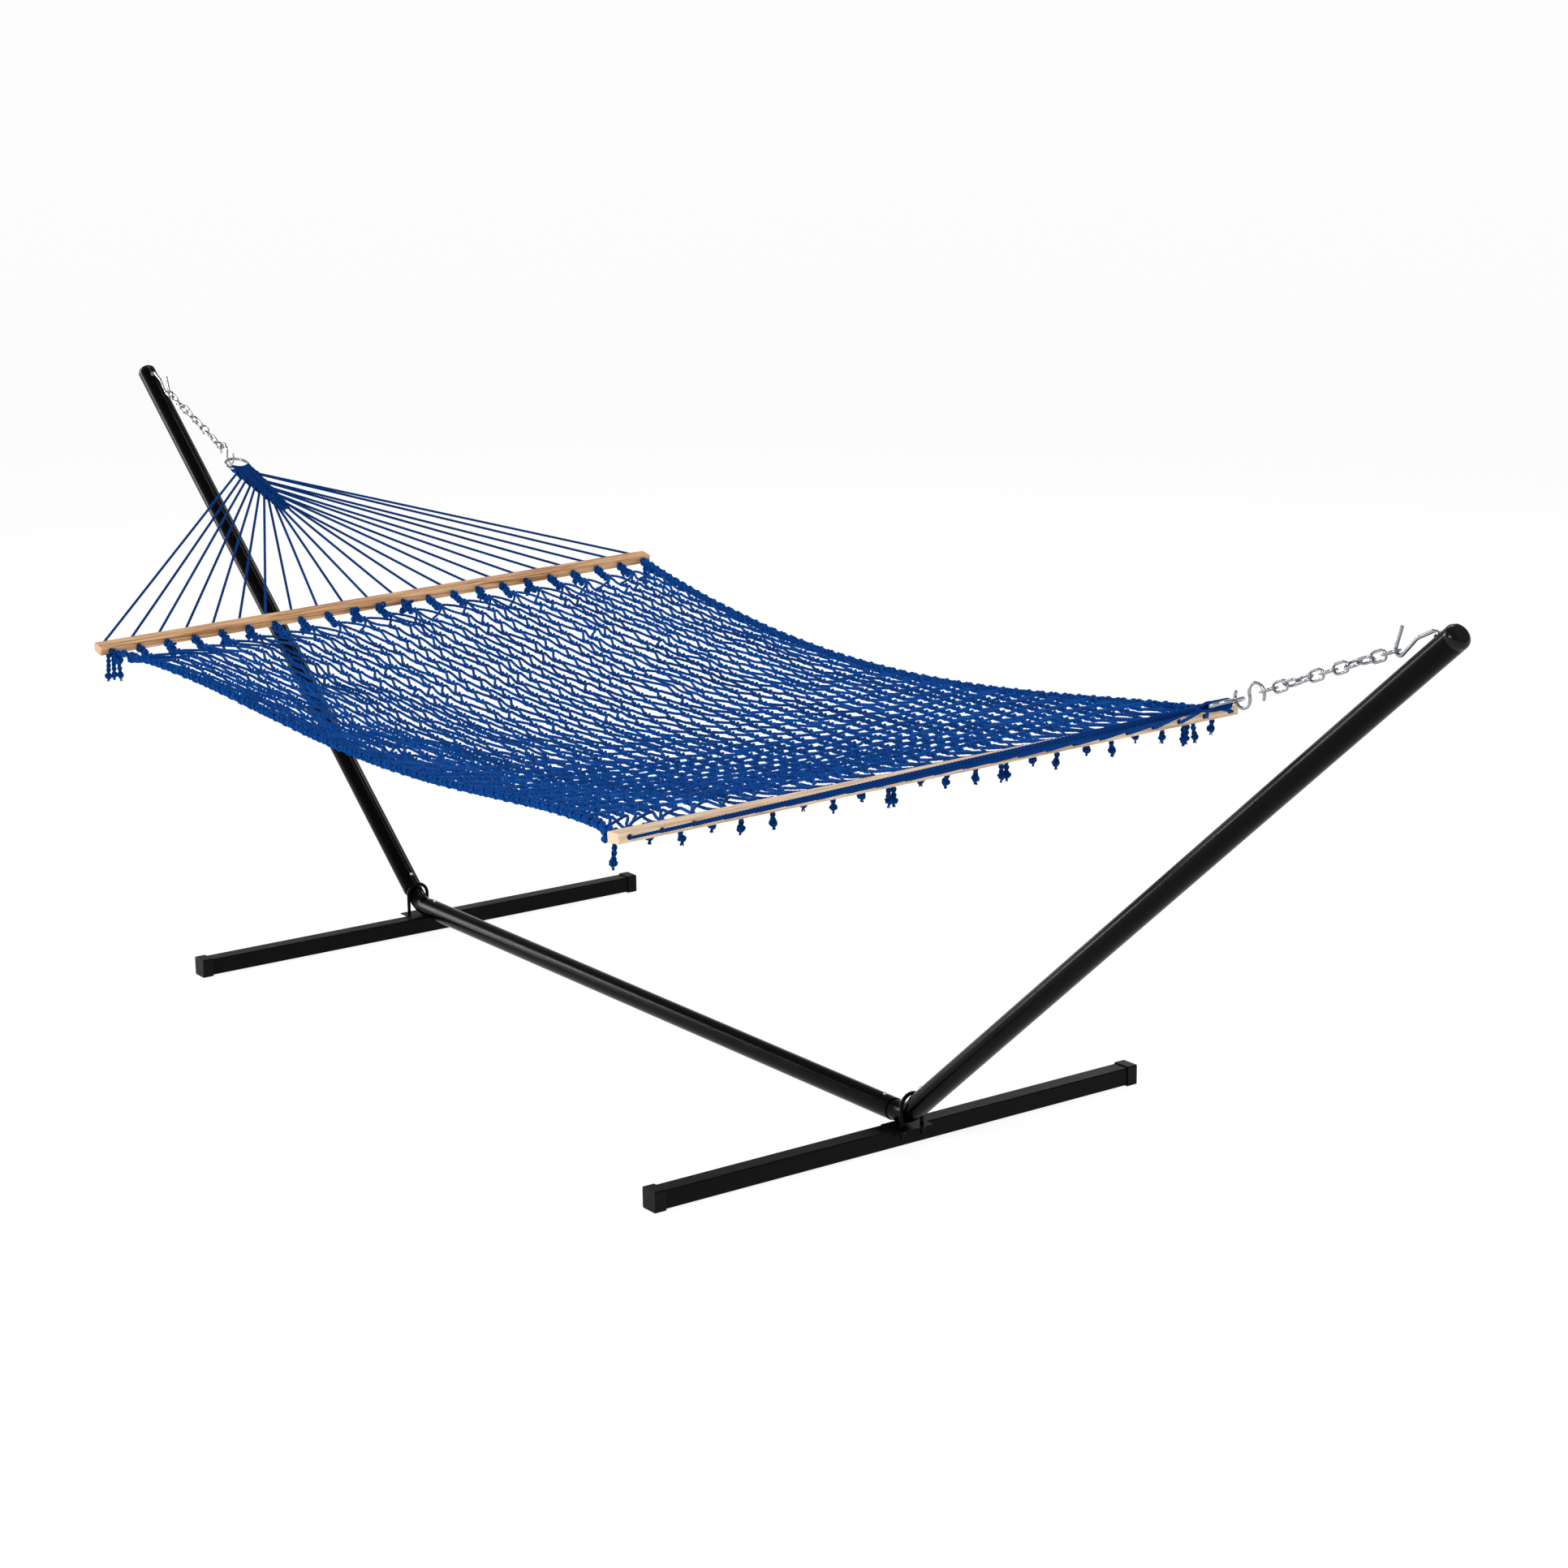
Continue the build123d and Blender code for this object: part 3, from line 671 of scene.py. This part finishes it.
        # The first and last strands have no next hole to cross to, so they start on the other side.
        corner[[0, -1]] = np.radians((225.0, 45.0))
        first = corner - np.pi if side is Side.LEFT else corner
        edge = self.bed.half_width - self.edge_inset
        row = {"x": x, "y": np.clip(mouth[:, 1], -edge, edge), "z": z,
               "radius": np.full(self.strands, self.bundle_radius),
               "length": np.full(self.strands, self.bundle_length), "angle": first,
               "turns": np.full(self.strands, 0.5)}
        return {name: values[None, :] for name, values in row.items()}

    def lines(self, draw: np.random.Generator) -> Array:
        """Every strand's line.

        Within a twist a strand lies radius * (cos, sin)(angle + 2 pi * turns * p) from the twist's middle,
        with p going from 0 to 1 along its length. Between twists it runs straight, with a slight bow.

        Args:
            draw: The source of the net's small irregularities.

        Returns:
            The lines' points, as (strand, point, xyz).
        """
        inner = self.twists(draw)
        left = self.bundle(Side.LEFT)
        right = self.bundle(Side.RIGHT)
        table = {name: np.concatenate([left[name], inner[name], right[name]]) for name in inner}
        spans = len(table["x"]) - 1
        bow = draw.normal(0, self.bow, (2, spans, self.strands))[..., None]
        lift = np.zeros((spans, self.strands, 1))
        lift[[0, -1]] = self.cross_lift * np.array((1.0, 0.0, 0.0, -1.0))[np.arange(self.strands) % 4, None]
        step = np.arange(self.samples) / self.samples
        x0, x1 = table["x"][:-1, :, None], table["x"][1:, :, None]
        x = x0 + (x1 - x0) * step
        pairs = []
        for rows in (slice(None, -1), slice(1, None)):
            row = {name: values[rows][:, :, None] for name, values in table.items()}
            progress = np.clip((x - row["x"]) / row["length"] + 0.5, 0, 1)
            angle = row["angle"] + TURN * row["turns"] * progress
            pairs.append((row["y"] + row["radius"] * np.cos(angle), row["z"] + row["radius"] * np.sin(angle)))
        leave = x0 + table["length"][:-1, :, None] / 2
        reach = x1 - table["length"][1:, :, None] / 2
        share = np.clip((x - leave) / (reach - leave), 0, 1)
        blend = (1 - self.eased) * share + self.eased * smooth_step(share)
        arch = 4 * share * (1 - share)
        y = (1 - blend) * pairs[0][0] + blend * pairs[1][0] + arch * bow[0]
        z = (1 - blend) * pairs[0][1] + blend * pairs[1][1] + arch * (lift - np.abs(bow[1]))
        points = np.stack([x, y, z], axis=-1).transpose(1, 0, 2, 3)
        return points.reshape(self.strands, spans * self.samples, 3)

    def build(self, rope: bpy.types.Material) -> list[bpy.types.Object]:
        """Makes the net as side-by-side strips, which together stand for the frame's net bed.

        Args:
            rope: The rope's material.

        Returns:
            The strips, from front to back.
        """
        draw = np.random.default_rng(self.seed)
        lines = self.lines(draw)
        tones = draw.uniform(0.15, 0.75, self.strands)
        strips = []
        for name, numbers in zip(self.names, np.array_split(np.arange(self.strands), len(self.names))):
            skein = Skein(name)
            skein.add(lines[numbers], UP, self.lay, tones[numbers])
            strips.append(skein.build(rope))
        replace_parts(strips[len(strips) // 2], "net_bed")
        return strips


@dataclass
class EdgeBraid:
    """The braid along one edge of the net: three strands of two ropes each, plaited."""

    name: str
    hand: int
    bed: BedShape
    reach: float = 1.016
    offset: float = 9 * MM
    plait_wide: float = 6.4 * MM
    plait_thick: float = 3.4 * MM
    plait_pitch: float = 0.062
    pair_radius: float = 2.6 * MM
    pair_pitch: float = 0.047
    step: float = 3.0 * MM
    loose_waves: tuple[tuple[float, float, float], ...] = ((0.12, 9.0, 0.0), (0.08, 23.0, 1.0))
    lay: Lay = Lay(radius=2.7 * MM, depth=0.13, pitch=18 * MM, sides=9)

    def build(self, rope: bpy.types.Material) -> bpy.types.Object:
        """Makes the braid.

        Strand k lies at (wide * sin(q), thick * sin(2q)) from the braid's own line, with
        q = 2 pi * (x / pitch + k / 3), and its two ropes turn about each other on a small circle.
        The width also swells and shrinks along the braid, by a * sin(n * x + p) for each loose wave.

        Args:
            rope: The rope's material.

        Returns:
            The braid.
        """
        x = np.linspace(-self.reach, self.reach, int(2 * self.reach / self.step))
        share = x / self.bed.end_x
        loose = np.ones(len(x))
        for height, number, start in self.loose_waves:
            loose = loose + height * np.sin(x * number + start)
        y = self.hand * (self.bed.half(np.clip(share, -1, 1)) + self.offset)
        z = self.bed.height(share, np.full(len(x), float(self.hand)))
        lines = []
        for strand in range(3):
            turn = TURN * (x / self.plait_pitch + strand / 3)
            wide = self.plait_wide * loose * np.sin(turn)
            thick = self.plait_thick * np.sin(2 * turn)
            for rope_hand in (0.0, np.pi):
                pair = TURN * x / self.pair_pitch + rope_hand + strand
                off_y = wide + self.pair_radius * np.cos(pair)
                off_z = thick + self.pair_radius * np.sin(pair)
                lines.append(np.stack([x, y + off_y, z + off_z], axis=1))
        skein = Skein(self.name)
        skein.add(np.array(lines), UP, self.lay, np.array((0.5, 0.75, 0.6, 0.8, 0.55, 0.7)))
        piece = skein.build(rope)
        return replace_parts(piece, self.name.replace("braid", "rope"))


@dataclass
class Fan:
    """One end's taut ropes: doubled over the ring, woven into a clew, then spread to the bar's holes."""

    end: BarEnd
    pull_angle: float = 21.4
    ring_bend: float = 0.029
    ring_wire: float = 0.0035
    clew_gap: float = 0.001
    clew_length: float = 0.255
    clew_wide: float = 0.054
    clew_narrow: float = 0.014
    leave_first: float = 0.022
    leave_step: float = 0.022
    loop_spacing: float = 4.9 * MM
    layer: float = 2.5 * MM
    weave: float = 1.3 * MM
    weft_pitch: float = 0.0096
    weft_past: float = 1.2 * MM
    weft_ends: tuple[float, float] = (4 * MM, 12 * MM)
    weft_points: int = 620
    ring_gap: float = 0.2 * MM
    edge_gap: float = 0.5 * MM
    settle_after: float = 6 * MM
    settle_length: float = 0.012
    entry: float = 0.007
    inside: float = 8 * MM
    points: int = 440
    lay: Lay = Lay(radius=3.05 * MM, depth=0.13, pitch=19 * MM, sides=9)
    ring: Array = field(init=False)
    to_bar: Array = field(init=False)
    over: Array = field(init=False)
    ring_way: Array = field(init=False)
    start: float = field(init=False)

    def __post_init__(self) -> None:
        """Works out the fan's own directions: along it to the bar, across it and up from it."""
        side = self.end.side.value
        pull = np.radians(self.pull_angle)
        self.ring = self.end.ring
        self.to_bar = unit(self.end.middle - self.ring)
        self.over = unit(np.cross((0, side, 0), self.to_bar))
        self.ring_way = np.array((-side * np.cos(pull), 0, -np.sin(pull)))
        self.start = self.ring_bend + self.ring_wire + self.clew_gap

    def clew_half(self, distance: Array) -> Array:
        """Half the clew's width at a distance from its start, in a straight taper."""
        share = distance / self.clew_length
        return (self.clew_wide + (self.clew_narrow - self.clew_wide) * share) / 2

    def at(self, distance: Array, across: Array, over: Array) -> Array:
        """Points at a distance from the ring's middle, across the fan and over it."""
        sideways = across[:, None] * np.array((0, 1, 0))
        return self.ring + distance[:, None] * self.to_bar + sideways + over[:, None] * self.over

    def warp(self, number: int) -> Array:
        """One rope's line: half a loop round the ring's wire, down the clew, and off to its hole.

        Args:
            number: The rope's hole.

        Returns:
            The line's points.
        """
        last = self.end.holes - 1
        from_edge = min(number, last - number)
        hand = 1 if number > last / 2 else -1
        layer = 1 if number % 2 == 0 else -1
        loop = (number // 2 - (self.end.holes // 2 - 1) / 2) * self.loop_spacing / self.ring_bend
        outward = np.cos(loop) * self.ring_way + np.sin(loop) * np.array((0, 1, 0))
        wire = self.ring + self.ring_bend * outward
        wrap = self.ring_wire + self.lay.radius + self.ring_gap
        bend = np.linspace(np.pi, np.pi / 2, 7)[:, None]
        around = wire + wrap * (np.cos(bend) * self.to_bar + layer * np.sin(bend) * self.over)
        leave = self.leave_first + self.leave_step * from_edge
        edge = hand * (self.clew_half(leave) + self.lay.radius + self.edge_gap)
        begin = float((wire - self.ring) @ self.to_bar) + self.settle_after
        down = np.linspace(begin, self.start + leave, 40)
        gone = smooth_step((down - begin) / (down[-1] - begin))
        across = wire[1] + (edge - wire[1]) * gone
        settle = np.exp(-(down - begin) / self.settle_length)
        wave = self.weave * np.sin(TURN * down / (2 * self.weft_pitch) + np.pi * (number // 2))
        over = layer * (self.layer + (wrap - self.layer) * settle) + wave * (1 - settle)
        clew = self.at(down, across, over)
        reach = self.end.depth / 2
        bar = self.end.hole(np.full(3, number), np.array((reach + self.entry, reach, -reach - self.inside)))
        return evened(np.concatenate([around, clew, bar]), self.points, passes=2)

    def weft(self) -> Array:
        """The rope that weaves to and fro across the clew: across = half width * cos(pi * d / pitch)."""
        first, last = self.weft_ends
        down = np.linspace(self.start + first, self.start + self.clew_length - last, self.weft_points)
        phase = np.pi * (down - self.start) / self.weft_pitch
        across = (self.clew_half(down - self.start) + self.weft_past) * np.cos(phase)
        over = self.weft_past * np.sin(across / self.loop_spacing * np.pi)
        return self.at(down, across, over)

    def build(self, rope: bpy.types.Material) -> list[bpy.types.Object]:
        """Makes the fan's ropes and the clew's weft.

        Args:
            rope: The rope's material.

        Returns:
            The fan and the weft.
        """
        word = self.end.side.word
        lines = np.array([self.warp(number) for number in range(self.end.holes)])
        draw = np.random.default_rng(5 + self.end.side.value)
        fan = Skein("fan_ropes_" + word)
        fan.add(lines, self.over, self.lay, draw.uniform(-0.25, 0.1, len(lines)))
        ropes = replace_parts(fan.build(rope), "clew_cords_" + word)
        weft = Skein("clew_weft_" + word)
        weft.add(self.weft()[None], self.over, self.lay, np.array((0.1,)))
        return [ropes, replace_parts(weft.build(rope), "clew_" + word)]


@dataclass
class BarKnots:
    """The knots on the bed's side of one bar: a stopper at each hole, then hitches that hold the strands."""

    end: BarEnd
    slack: tuple[int, ...] = ()
    places: tuple[float, ...] = (9 * MM, 20.5 * MM, 32 * MM, 43 * MM)
    swells: tuple[float, ...] = (1.0, 0.97, 0.88, 0.75)
    sink: float = 0.24
    core: float = 4.8 * MM
    wind: float = 3.3 * MM
    stretch: tuple[float, float] = (0.92, 1.1)
    leans: tuple[float, float] = (0.5, 0.6)
    wander: float = 1.8 * MM
    corner_swell: float = 1.15
    slack_radius: float = 9 * MM
    slack_flat: float = 0.75
    points: int = 60
    lay: Lay = Lay(radius=3.0 * MM, depth=0.13, pitch=17 * MM, sides=9)

    def knot(self, size: float, draw: np.random.Generator) -> tuple[Array, Array]:
        """A trefoil wound on a ring: twice round the ring's middle while three times round its wire.

        At angle a the ring's own direction is r = (cos 2a, sin 2a, 0), the direction out of its wire is
        w = r * cos 3a + (0, 0, sin 3a), and the line lies at core * r + wind * w.

        Args:
            size: The knot's size, as a share of the usual one.
            draw: The source of its turn and stretch.

        Returns:
            The line in the knot's own axes, and the direction out of the ring's wire at each point.
        """
        angle = np.linspace(0, TURN, self.points) + draw.uniform(0, TURN)
        core = self.core * size * draw.uniform(*self.stretch)
        wind = self.wind * size
        ring = np.stack([np.cos(2 * angle), np.sin(2 * angle), np.zeros_like(angle)], axis=1)
        lift = np.stack([np.zeros_like(angle), np.zeros_like(angle), np.sin(3 * angle)], axis=1)
        away = ring * np.cos(3 * angle)[:, None] + lift
        return ring * core + away * wind, away

    def slack_loop(self, draw: np.random.Generator) -> tuple[Array, Array]:
        """A loop left standing out of a knot: an oval in a tilted plane, starting in the knot.

        With o the loop's direction and x the first axis, the line lies at
        slack_radius * (o * (1 + cos a) + slack_flat * x * sin a) for a from -pi to pi.

        Args:
            draw: The source of its tilt.

        Returns:
            The line in the knot's own axes, and the oval's outward direction at each point.
        """
        angle = np.linspace(-np.pi, np.pi, self.points)
        tilt = draw.uniform(0.2, 1.2)
        outward = np.array((draw.uniform(-0.4, 0.4), np.sin(tilt), np.cos(tilt)))
        outward = outward / np.linalg.norm(outward)
        sideways = np.array((1.0, 0.0, 0.0))
        away = np.cos(angle)[:, None] * outward + self.slack_flat * np.sin(angle)[:, None] * sideways
        return self.slack_radius * (outward + away), away

    def build(self, rope: bpy.types.Material) -> bpy.types.Object:
        """Makes the knots of one bar.

        Args:
            rope: The rope's material.

        Returns:
            The knots.
        """
        word = self.end.side.word
        draw = np.random.default_rng(31 + self.end.side.value)
        axes = np.stack([self.end.along, np.cross(-self.end.out, self.end.along), -self.end.out])
        lines, outs = [], []
        for number in range(self.end.holes):
            swell = self.corner_swell if number in (0, self.end.holes - 1) else 1.0
            for distance, size in zip(self.places, self.swells):
                line, out = self.knot(size * swell, draw)
                lean = [Matrix.Rotation(draw.uniform(-most, most), 3, axis)
                        for most, axis in zip(self.leans, "XY")]
                turned = np.array(lean[0] @ lean[1]) @ axes
                middle = self.end.hole(np.array(number), -self.end.depth / 2 - distance)
                sunk = middle - UP * self.sink * distance
                shift = draw.uniform(-self.wander, self.wander, 3)
                lines.append(sunk + shift + line @ turned)
                outs.append(out @ turned)
            if number in self.slack:
                line, out = self.slack_loop(draw)
                middle = self.end.hole(np.array(number), -self.end.depth / 2 - self.places[1])
                lines.append(middle + line @ axes)
                outs.append(out @ axes)
        skein = Skein("bar_knots_rope_" + word)
        skein.add(np.array(lines), np.array(outs), self.lay, draw.uniform(0.2, 0.6, len(lines)))
        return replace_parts(skein.build(rope), "bar_knots_" + word)


@dataclass
class RopeTails:
    """The cut ends that hang from one bar's knots: two ropes twisted together, a knot and a frayed tip.

    A drop of 0 leaves a hole without a tail, and each time a hole is in doubles it has one tail more.
    """

    end: BarEnd
    drops_mm: tuple[float, ...]
    doubles: tuple[int, ...] = ()
    pair_radius: float = 2.7 * MM
    pair_pitch: float = 0.022
    points: int = 22
    spacing: float = 12 * MM
    root_in: float = 12 * MM
    root_under: float = 3 * MM
    end_knot: float = 0.74
    yarns: int = 7
    yarn_splay_mm: float = 3.5
    thin: Lay = Lay(radius=2.9 * MM, depth=0.13, pitch=15 * MM, sides=9)
    yarn: Lay = Lay(radius=1.1 * MM, depth=0.1, pitch=6 * MM, sides=6)

    def hang(self, top: Array, drop: float, lean: Array) -> Array:
        """A tail's own line: straight down, leaning a little more towards its tip."""
        share = np.linspace(0, 1, self.points)[:, None]
        return top - UP * drop * share + lean * share**1.6

    def build(self, rope: bpy.types.Material) -> bpy.types.Object:
        """Makes the tails of one bar.

        A tail's two ropes lie at pair_radius * (cos q, sin q, 0) and its opposite from the tail's own
        line, with q growing by 2 pi in each pair_pitch.

        Args:
            rope: The rope's material.

        Returns:
            The tails.
        """
        word = self.end.side.word
        draw = np.random.default_rng(71 + self.end.side.value)
        knots = BarKnots(self.end)
        pairs, ways, ends, end_outs, fuzz = [], [], [], [], []
        for number, drop_mm in enumerate(self.drops_mm):
            for again in range(1 + self.doubles.count(number)):
                if drop_mm <= 0:
                    continue
                across = np.array((0, (again - 0.5 * self.doubles.count(number)) * self.spacing, 0))
                root = self.end.hole(np.array(number), -self.end.depth / 2 - self.root_in)
                top = root + across - UP * self.root_under
                lean = np.array((draw.uniform(-5, 3) * MM, draw.uniform(-6, 6) * MM, 0)) + across * 0.4
                middle = self.hang(top, drop_mm * MM * draw.uniform(0.94, 1.04), lean)
                turns = np.linspace(0, drop_mm * MM / self.pair_pitch, self.points)[:, None]
                turn = TURN * turns + draw.uniform(0, TURN)
                for half in (0, np.pi):
                    angle = turn + half
                    way = np.cos(angle) * np.array((1, 0, 0)) + np.sin(angle) * np.array((0, 1, 0))
                    pairs.append(middle + way * self.pair_radius)
                    ways.append(way)
                for upright in (0.0, np.pi / 2):
                    line, out = knots.knot(self.end_knot, draw)
                    spin = Matrix.Rotation(draw.uniform(0, TURN), 3, "Z")
                    turned = np.array(Matrix.Rotation(upright, 3, "X") @ spin)
                    ends.append(middle[-1] + line @ turned)
                    end_outs.append(out @ turned)
                spread = np.array((self.yarn_splay_mm, self.yarn_splay_mm, 0)) * MM
                splay = draw.uniform(-1, 1, (self.yarns, 3)) * spread
                splay = splay - UP * draw.uniform(10, 12) * MM
                fuzz.append(middle[-1] - UP * 2 * MM + splay[:, None] * np.linspace(0, 1, 6)[None, :, None])
        skein = Skein("rope_ends_" + word)
        skein.add(np.array(pairs), np.array(ways), self.thin, draw.uniform(0.0, 0.3, len(pairs)))
        skein.add(np.array(ends), np.array(end_outs), self.thin, draw.uniform(0.0, 0.3, len(ends)))
        skein.add(np.concatenate(fuzz), np.array((1.0, 0.0, 0.0)), self.yarn, 0.3)
        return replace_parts(skein.build(rope), "rope_tails_" + word)


@dataclass
class StandFinishes:
    """The finishes of the frame's own metal, plastic and wood pieces."""

    both: tuple[str, str] = ("left", "right")

    def pairs(self, *names: str) -> list[str]:
        """The left and right nodes of each name."""
        return [f"{name}_{side}" for name in names for side in self.both]

    def dress(self) -> None:
        """Gives each shown frame node its material."""
        tube = Coat("gloss_black_powder_coat", colour="#030203", roughness=0.22, specular=0.06, grain=0.1)
        foot = Coat("satin_black_powder_coat", colour="#040304", roughness=0.36, specular=0.07, grain=0.2)
        sleeve = Coat("moulded_black_polypropylene", colour="#050405", roughness=0.45, specular=0.1,
                      grain_mm=1.2, grain=0.3)
        dome = Coat("polished_black_polyethylene", colour="#050405", roughness=0.2, specular=0.2,
                    grain_mm=6.0, grain=0.05, clear=0.05)
        zinc = PlatedSteel("bright_zinc_plate", colour="#9FA2A6", roughness=0.13)
        nickel = PlatedSteel("nickel_plate", colour="#C9C8C4", roughness=0.25)
        spring = PlatedSteel("blued_spring_steel", colour="#6B6F76", roughness=0.35)
        tan = OakBar("oiled_oak_tan", "#DCB48A", "#BE8D5E", "#7E4C2A")
        cream = OakBar("oiled_oak_cream", "#EBD3B6", "#D6B792", "#A0754F")
        plan = [
            (tube, ["beam_tube", *self.pairs("upright", "elbow", "u_bolt", "u_bolt_nuts")]),
            (foot, self.pairs("foot_tube", "saddle_plate")),
            (sleeve, self.pairs("foot_cap_front", "foot_cap_back")),
            (dome, self.pairs("upright_cap")),
            (zinc, self.pairs("hook", "hook_fixings", "chain", "s_hook", "ring")),
            (nickel, self.pairs("snap_button_beam", "snap_button_upright")),
            (spring, self.pairs("snap_spring_beam", "snap_spring_upright")),
            (tan, ["spreader_bar_left"]),
            (cream, ["spreader_bar_right"]),
        ]
        for finish, names in plan:
            material = finish.build()
            for name in names:
                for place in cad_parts[name].material_slots:
                    place.material = material
            LOG.info("%s: %d nodes", finish.name, len(names))


@dataclass(frozen=True)
class SoftBox:
    """One soft lamp: where it stands, what it faces, its width and height, and its power."""

    name: str
    place: tuple[float, float, float]
    aim: tuple[float, float, float]
    size: tuple[float, float]
    watts: float


@dataclass
class Studio:
    """The pale floor that rises into a round backdrop, the soft lights and the camera."""

    eye: tuple[float, float, float] = (5.694, -3.731, 2.218)
    aim: tuple[float, float, float] = (-2.874, 2.484, -0.388)
    roll: float = -0.0102
    lens: float = 74.58
    flat_radius: float = 17.0
    sweep_radius: float = 9.0
    sweep_turn: float = 65.0
    board_colour: str = "#7C7C7C"
    board_glow: float = 0.88
    world_strength: float = 0.4
    boxes: tuple[SoftBox, ...] = (
        SoftBox("key", (2.5, -5.0, 3.6), (0.0, 0.0, 0.6), (3.0, 1.0), 170.0),
        SoftBox("top", (-0.5, 1.5, 4.8), (0.0, 0.0, 0.6), (4.5, 0.7), 70.0),
        SoftBox("rim", (-3.0, 5.5, 4.2), (0.0, 0.0, 0.8), (2.0, 0.8), 70.0),
        SoftBox("strip", (-5.4, -2.6, 1.9), (0.6, 0.0, 0.7), (0.45, 3.8), 150.0),
    )

    def camera(self) -> None:
        """Places the camera: it looks from eye to aim, turned a little about its own view."""
        ahead = (Vector(self.aim) - Vector(self.eye)).normalized()
        right = ahead.cross(Vector((0, 0, 1))).normalized()
        upward = right.cross(ahead)
        turned = right * np.cos(self.roll) + upward * np.sin(self.roll)
        raised = upward * np.cos(self.roll) - right * np.sin(self.roll)
        camera = bpy.data.objects.new("camera", bpy.data.cameras.new("camera"))
        camera.data.lens = self.lens
        axes = Matrix((turned, raised, -ahead)).transposed().to_4x4()
        camera.matrix_world = Matrix.Translation(self.eye) @ axes
        bpy.context.scene.collection.objects.link(camera)
        bpy.context.scene.camera = camera

    def backdrop(self) -> None:
        """Makes the floor and its rising rim: a flat disc, then an arc, turned about Z."""
        around = np.linspace(0, TURN, 96, endpoint=False)
        rise = np.radians(np.linspace(0, self.sweep_turn, 12))
        radius = self.flat_radius + self.sweep_radius * np.sin(rise)
        height = self.sweep_radius * (1 - np.cos(rise))
        spoke = np.stack([np.cos(around), np.sin(around)], axis=1)
        flat = radius[:, None, None] * spoke
        level = np.broadcast_to(height[:, None, None], (*flat.shape[:2], 1))
        points = np.concatenate([flat, level], axis=2)
        number = np.arange(len(around))
        after = (number + 1) % len(around)
        row = np.arange(len(rise) - 1)[:, None] * len(around)
        next_row = row + len(around)
        rim = np.stack([row + number, next_row + number, next_row + after, row + after], axis=-1)
        faces = [number.tolist(), *rim.reshape(-1, 4).tolist()]
        mesh = bpy.data.meshes.new("floor")
        mesh.from_pydata(points.reshape(-1, 3).tolist(), [], faces)
        mesh.shade_smooth()
        floor = bpy.data.objects.new("floor", mesh)
        bpy.context.scene.collection.objects.link(floor)
        material, tree, shader = new_material("matt_white_board")
        feed(tree, shader, {"Base Color": linear(self.board_colour), "Roughness": 0.9,
                                  "Specular IOR Level": 0.0, "Emission Color": linear("#FFFFFF"),
                                  "Emission Strength": self.board_glow})
        mesh.materials.append(material)
        floor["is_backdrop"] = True

    def lamp(self, box: SoftBox) -> None:
        """Adds one soft box as a rectangular lamp."""
        data = bpy.data.lights.new(box.name, "AREA")
        data.shape = "RECTANGLE"
        data.size, data.size_y = box.size
        data.energy = box.watts
        lamp = bpy.data.objects.new(box.name, data)
        lamp.location = box.place
        lamp.rotation_euler = (Vector(box.aim) - Vector(box.place)).to_track_quat("-Z", "Y").to_euler()
        lamp.visible_camera = False
        bpy.context.scene.collection.objects.link(lamp)

    def build(self) -> None:
        """Makes the backdrop, the world's light, the soft boxes and the camera."""
        scene = bpy.context.scene
        scene.view_settings.view_transform = "Standard"
        world = bpy.data.worlds.new("studio")
        world.use_nodes = True
        back = world.node_tree.nodes["Background"]
        back.inputs["Color"].default_value = linear("#FFFFFF")
        back.inputs["Strength"].default_value = self.world_strength
        scene.world = world
        self.backdrop()
        for box in self.boxes:
            self.lamp(box)
        self.camera()


def corners() -> list[list[float]]:
    """The shown object's lowest and highest corners, as plain lists."""
    return [[float(value) for value in corner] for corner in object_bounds()]


def main() -> None:
    """Builds the studio, the finishes and the ropes in order."""
    logging.basicConfig(level=logging.INFO, format="%(message)s")
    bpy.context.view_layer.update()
    Studio().build()
    StandFinishes().dress()
    rope = PolyesterRope().build()
    bed = BedShape()
    ends = {
        Side.LEFT: BarEnd(Side.LEFT, roll=12.0, tilt=2.0),
        Side.RIGHT: BarEnd(Side.RIGHT, roll=4.0, tilt=1.0),
    }
    net = RopeNet(bed, ends)
    strips = net.build(rope)
    trims = [EdgeBraid(name, hand, bed).build(rope)
             for name, hand in (("edge_braid_front", -1), ("edge_braid_back", 1))]
    left_drops = (52, 0, 16, 0, 20, 14, 0, 22, 0, 16, 0, 18, 0, 0, 14, 0, 20, 0, 16, 0, 14, 50)
    right_drops = (52, 18, 34, 20, 36, 40, 16, 34, 24, 46, 18, 32, 36, 44, 24, 40, 26, 38, 22, 36, 48, 40)
    drops = {Side.LEFT: (left_drops, (0, 0)), Side.RIGHT: (right_drops, (9, 13, 20, 20))}
    slack = {Side.LEFT: (2, 9, 10, 11), Side.RIGHT: (5, 14)}
    for side, end in ends.items():
        Fan(end).build(rope)
        trims.append(BarKnots(end, slack[side]).build(rope))
        lengths, doubles = drops[side]
        trims.append(RopeTails(end, lengths, doubles).build(rope))


if __name__ == "__main__":
    main()
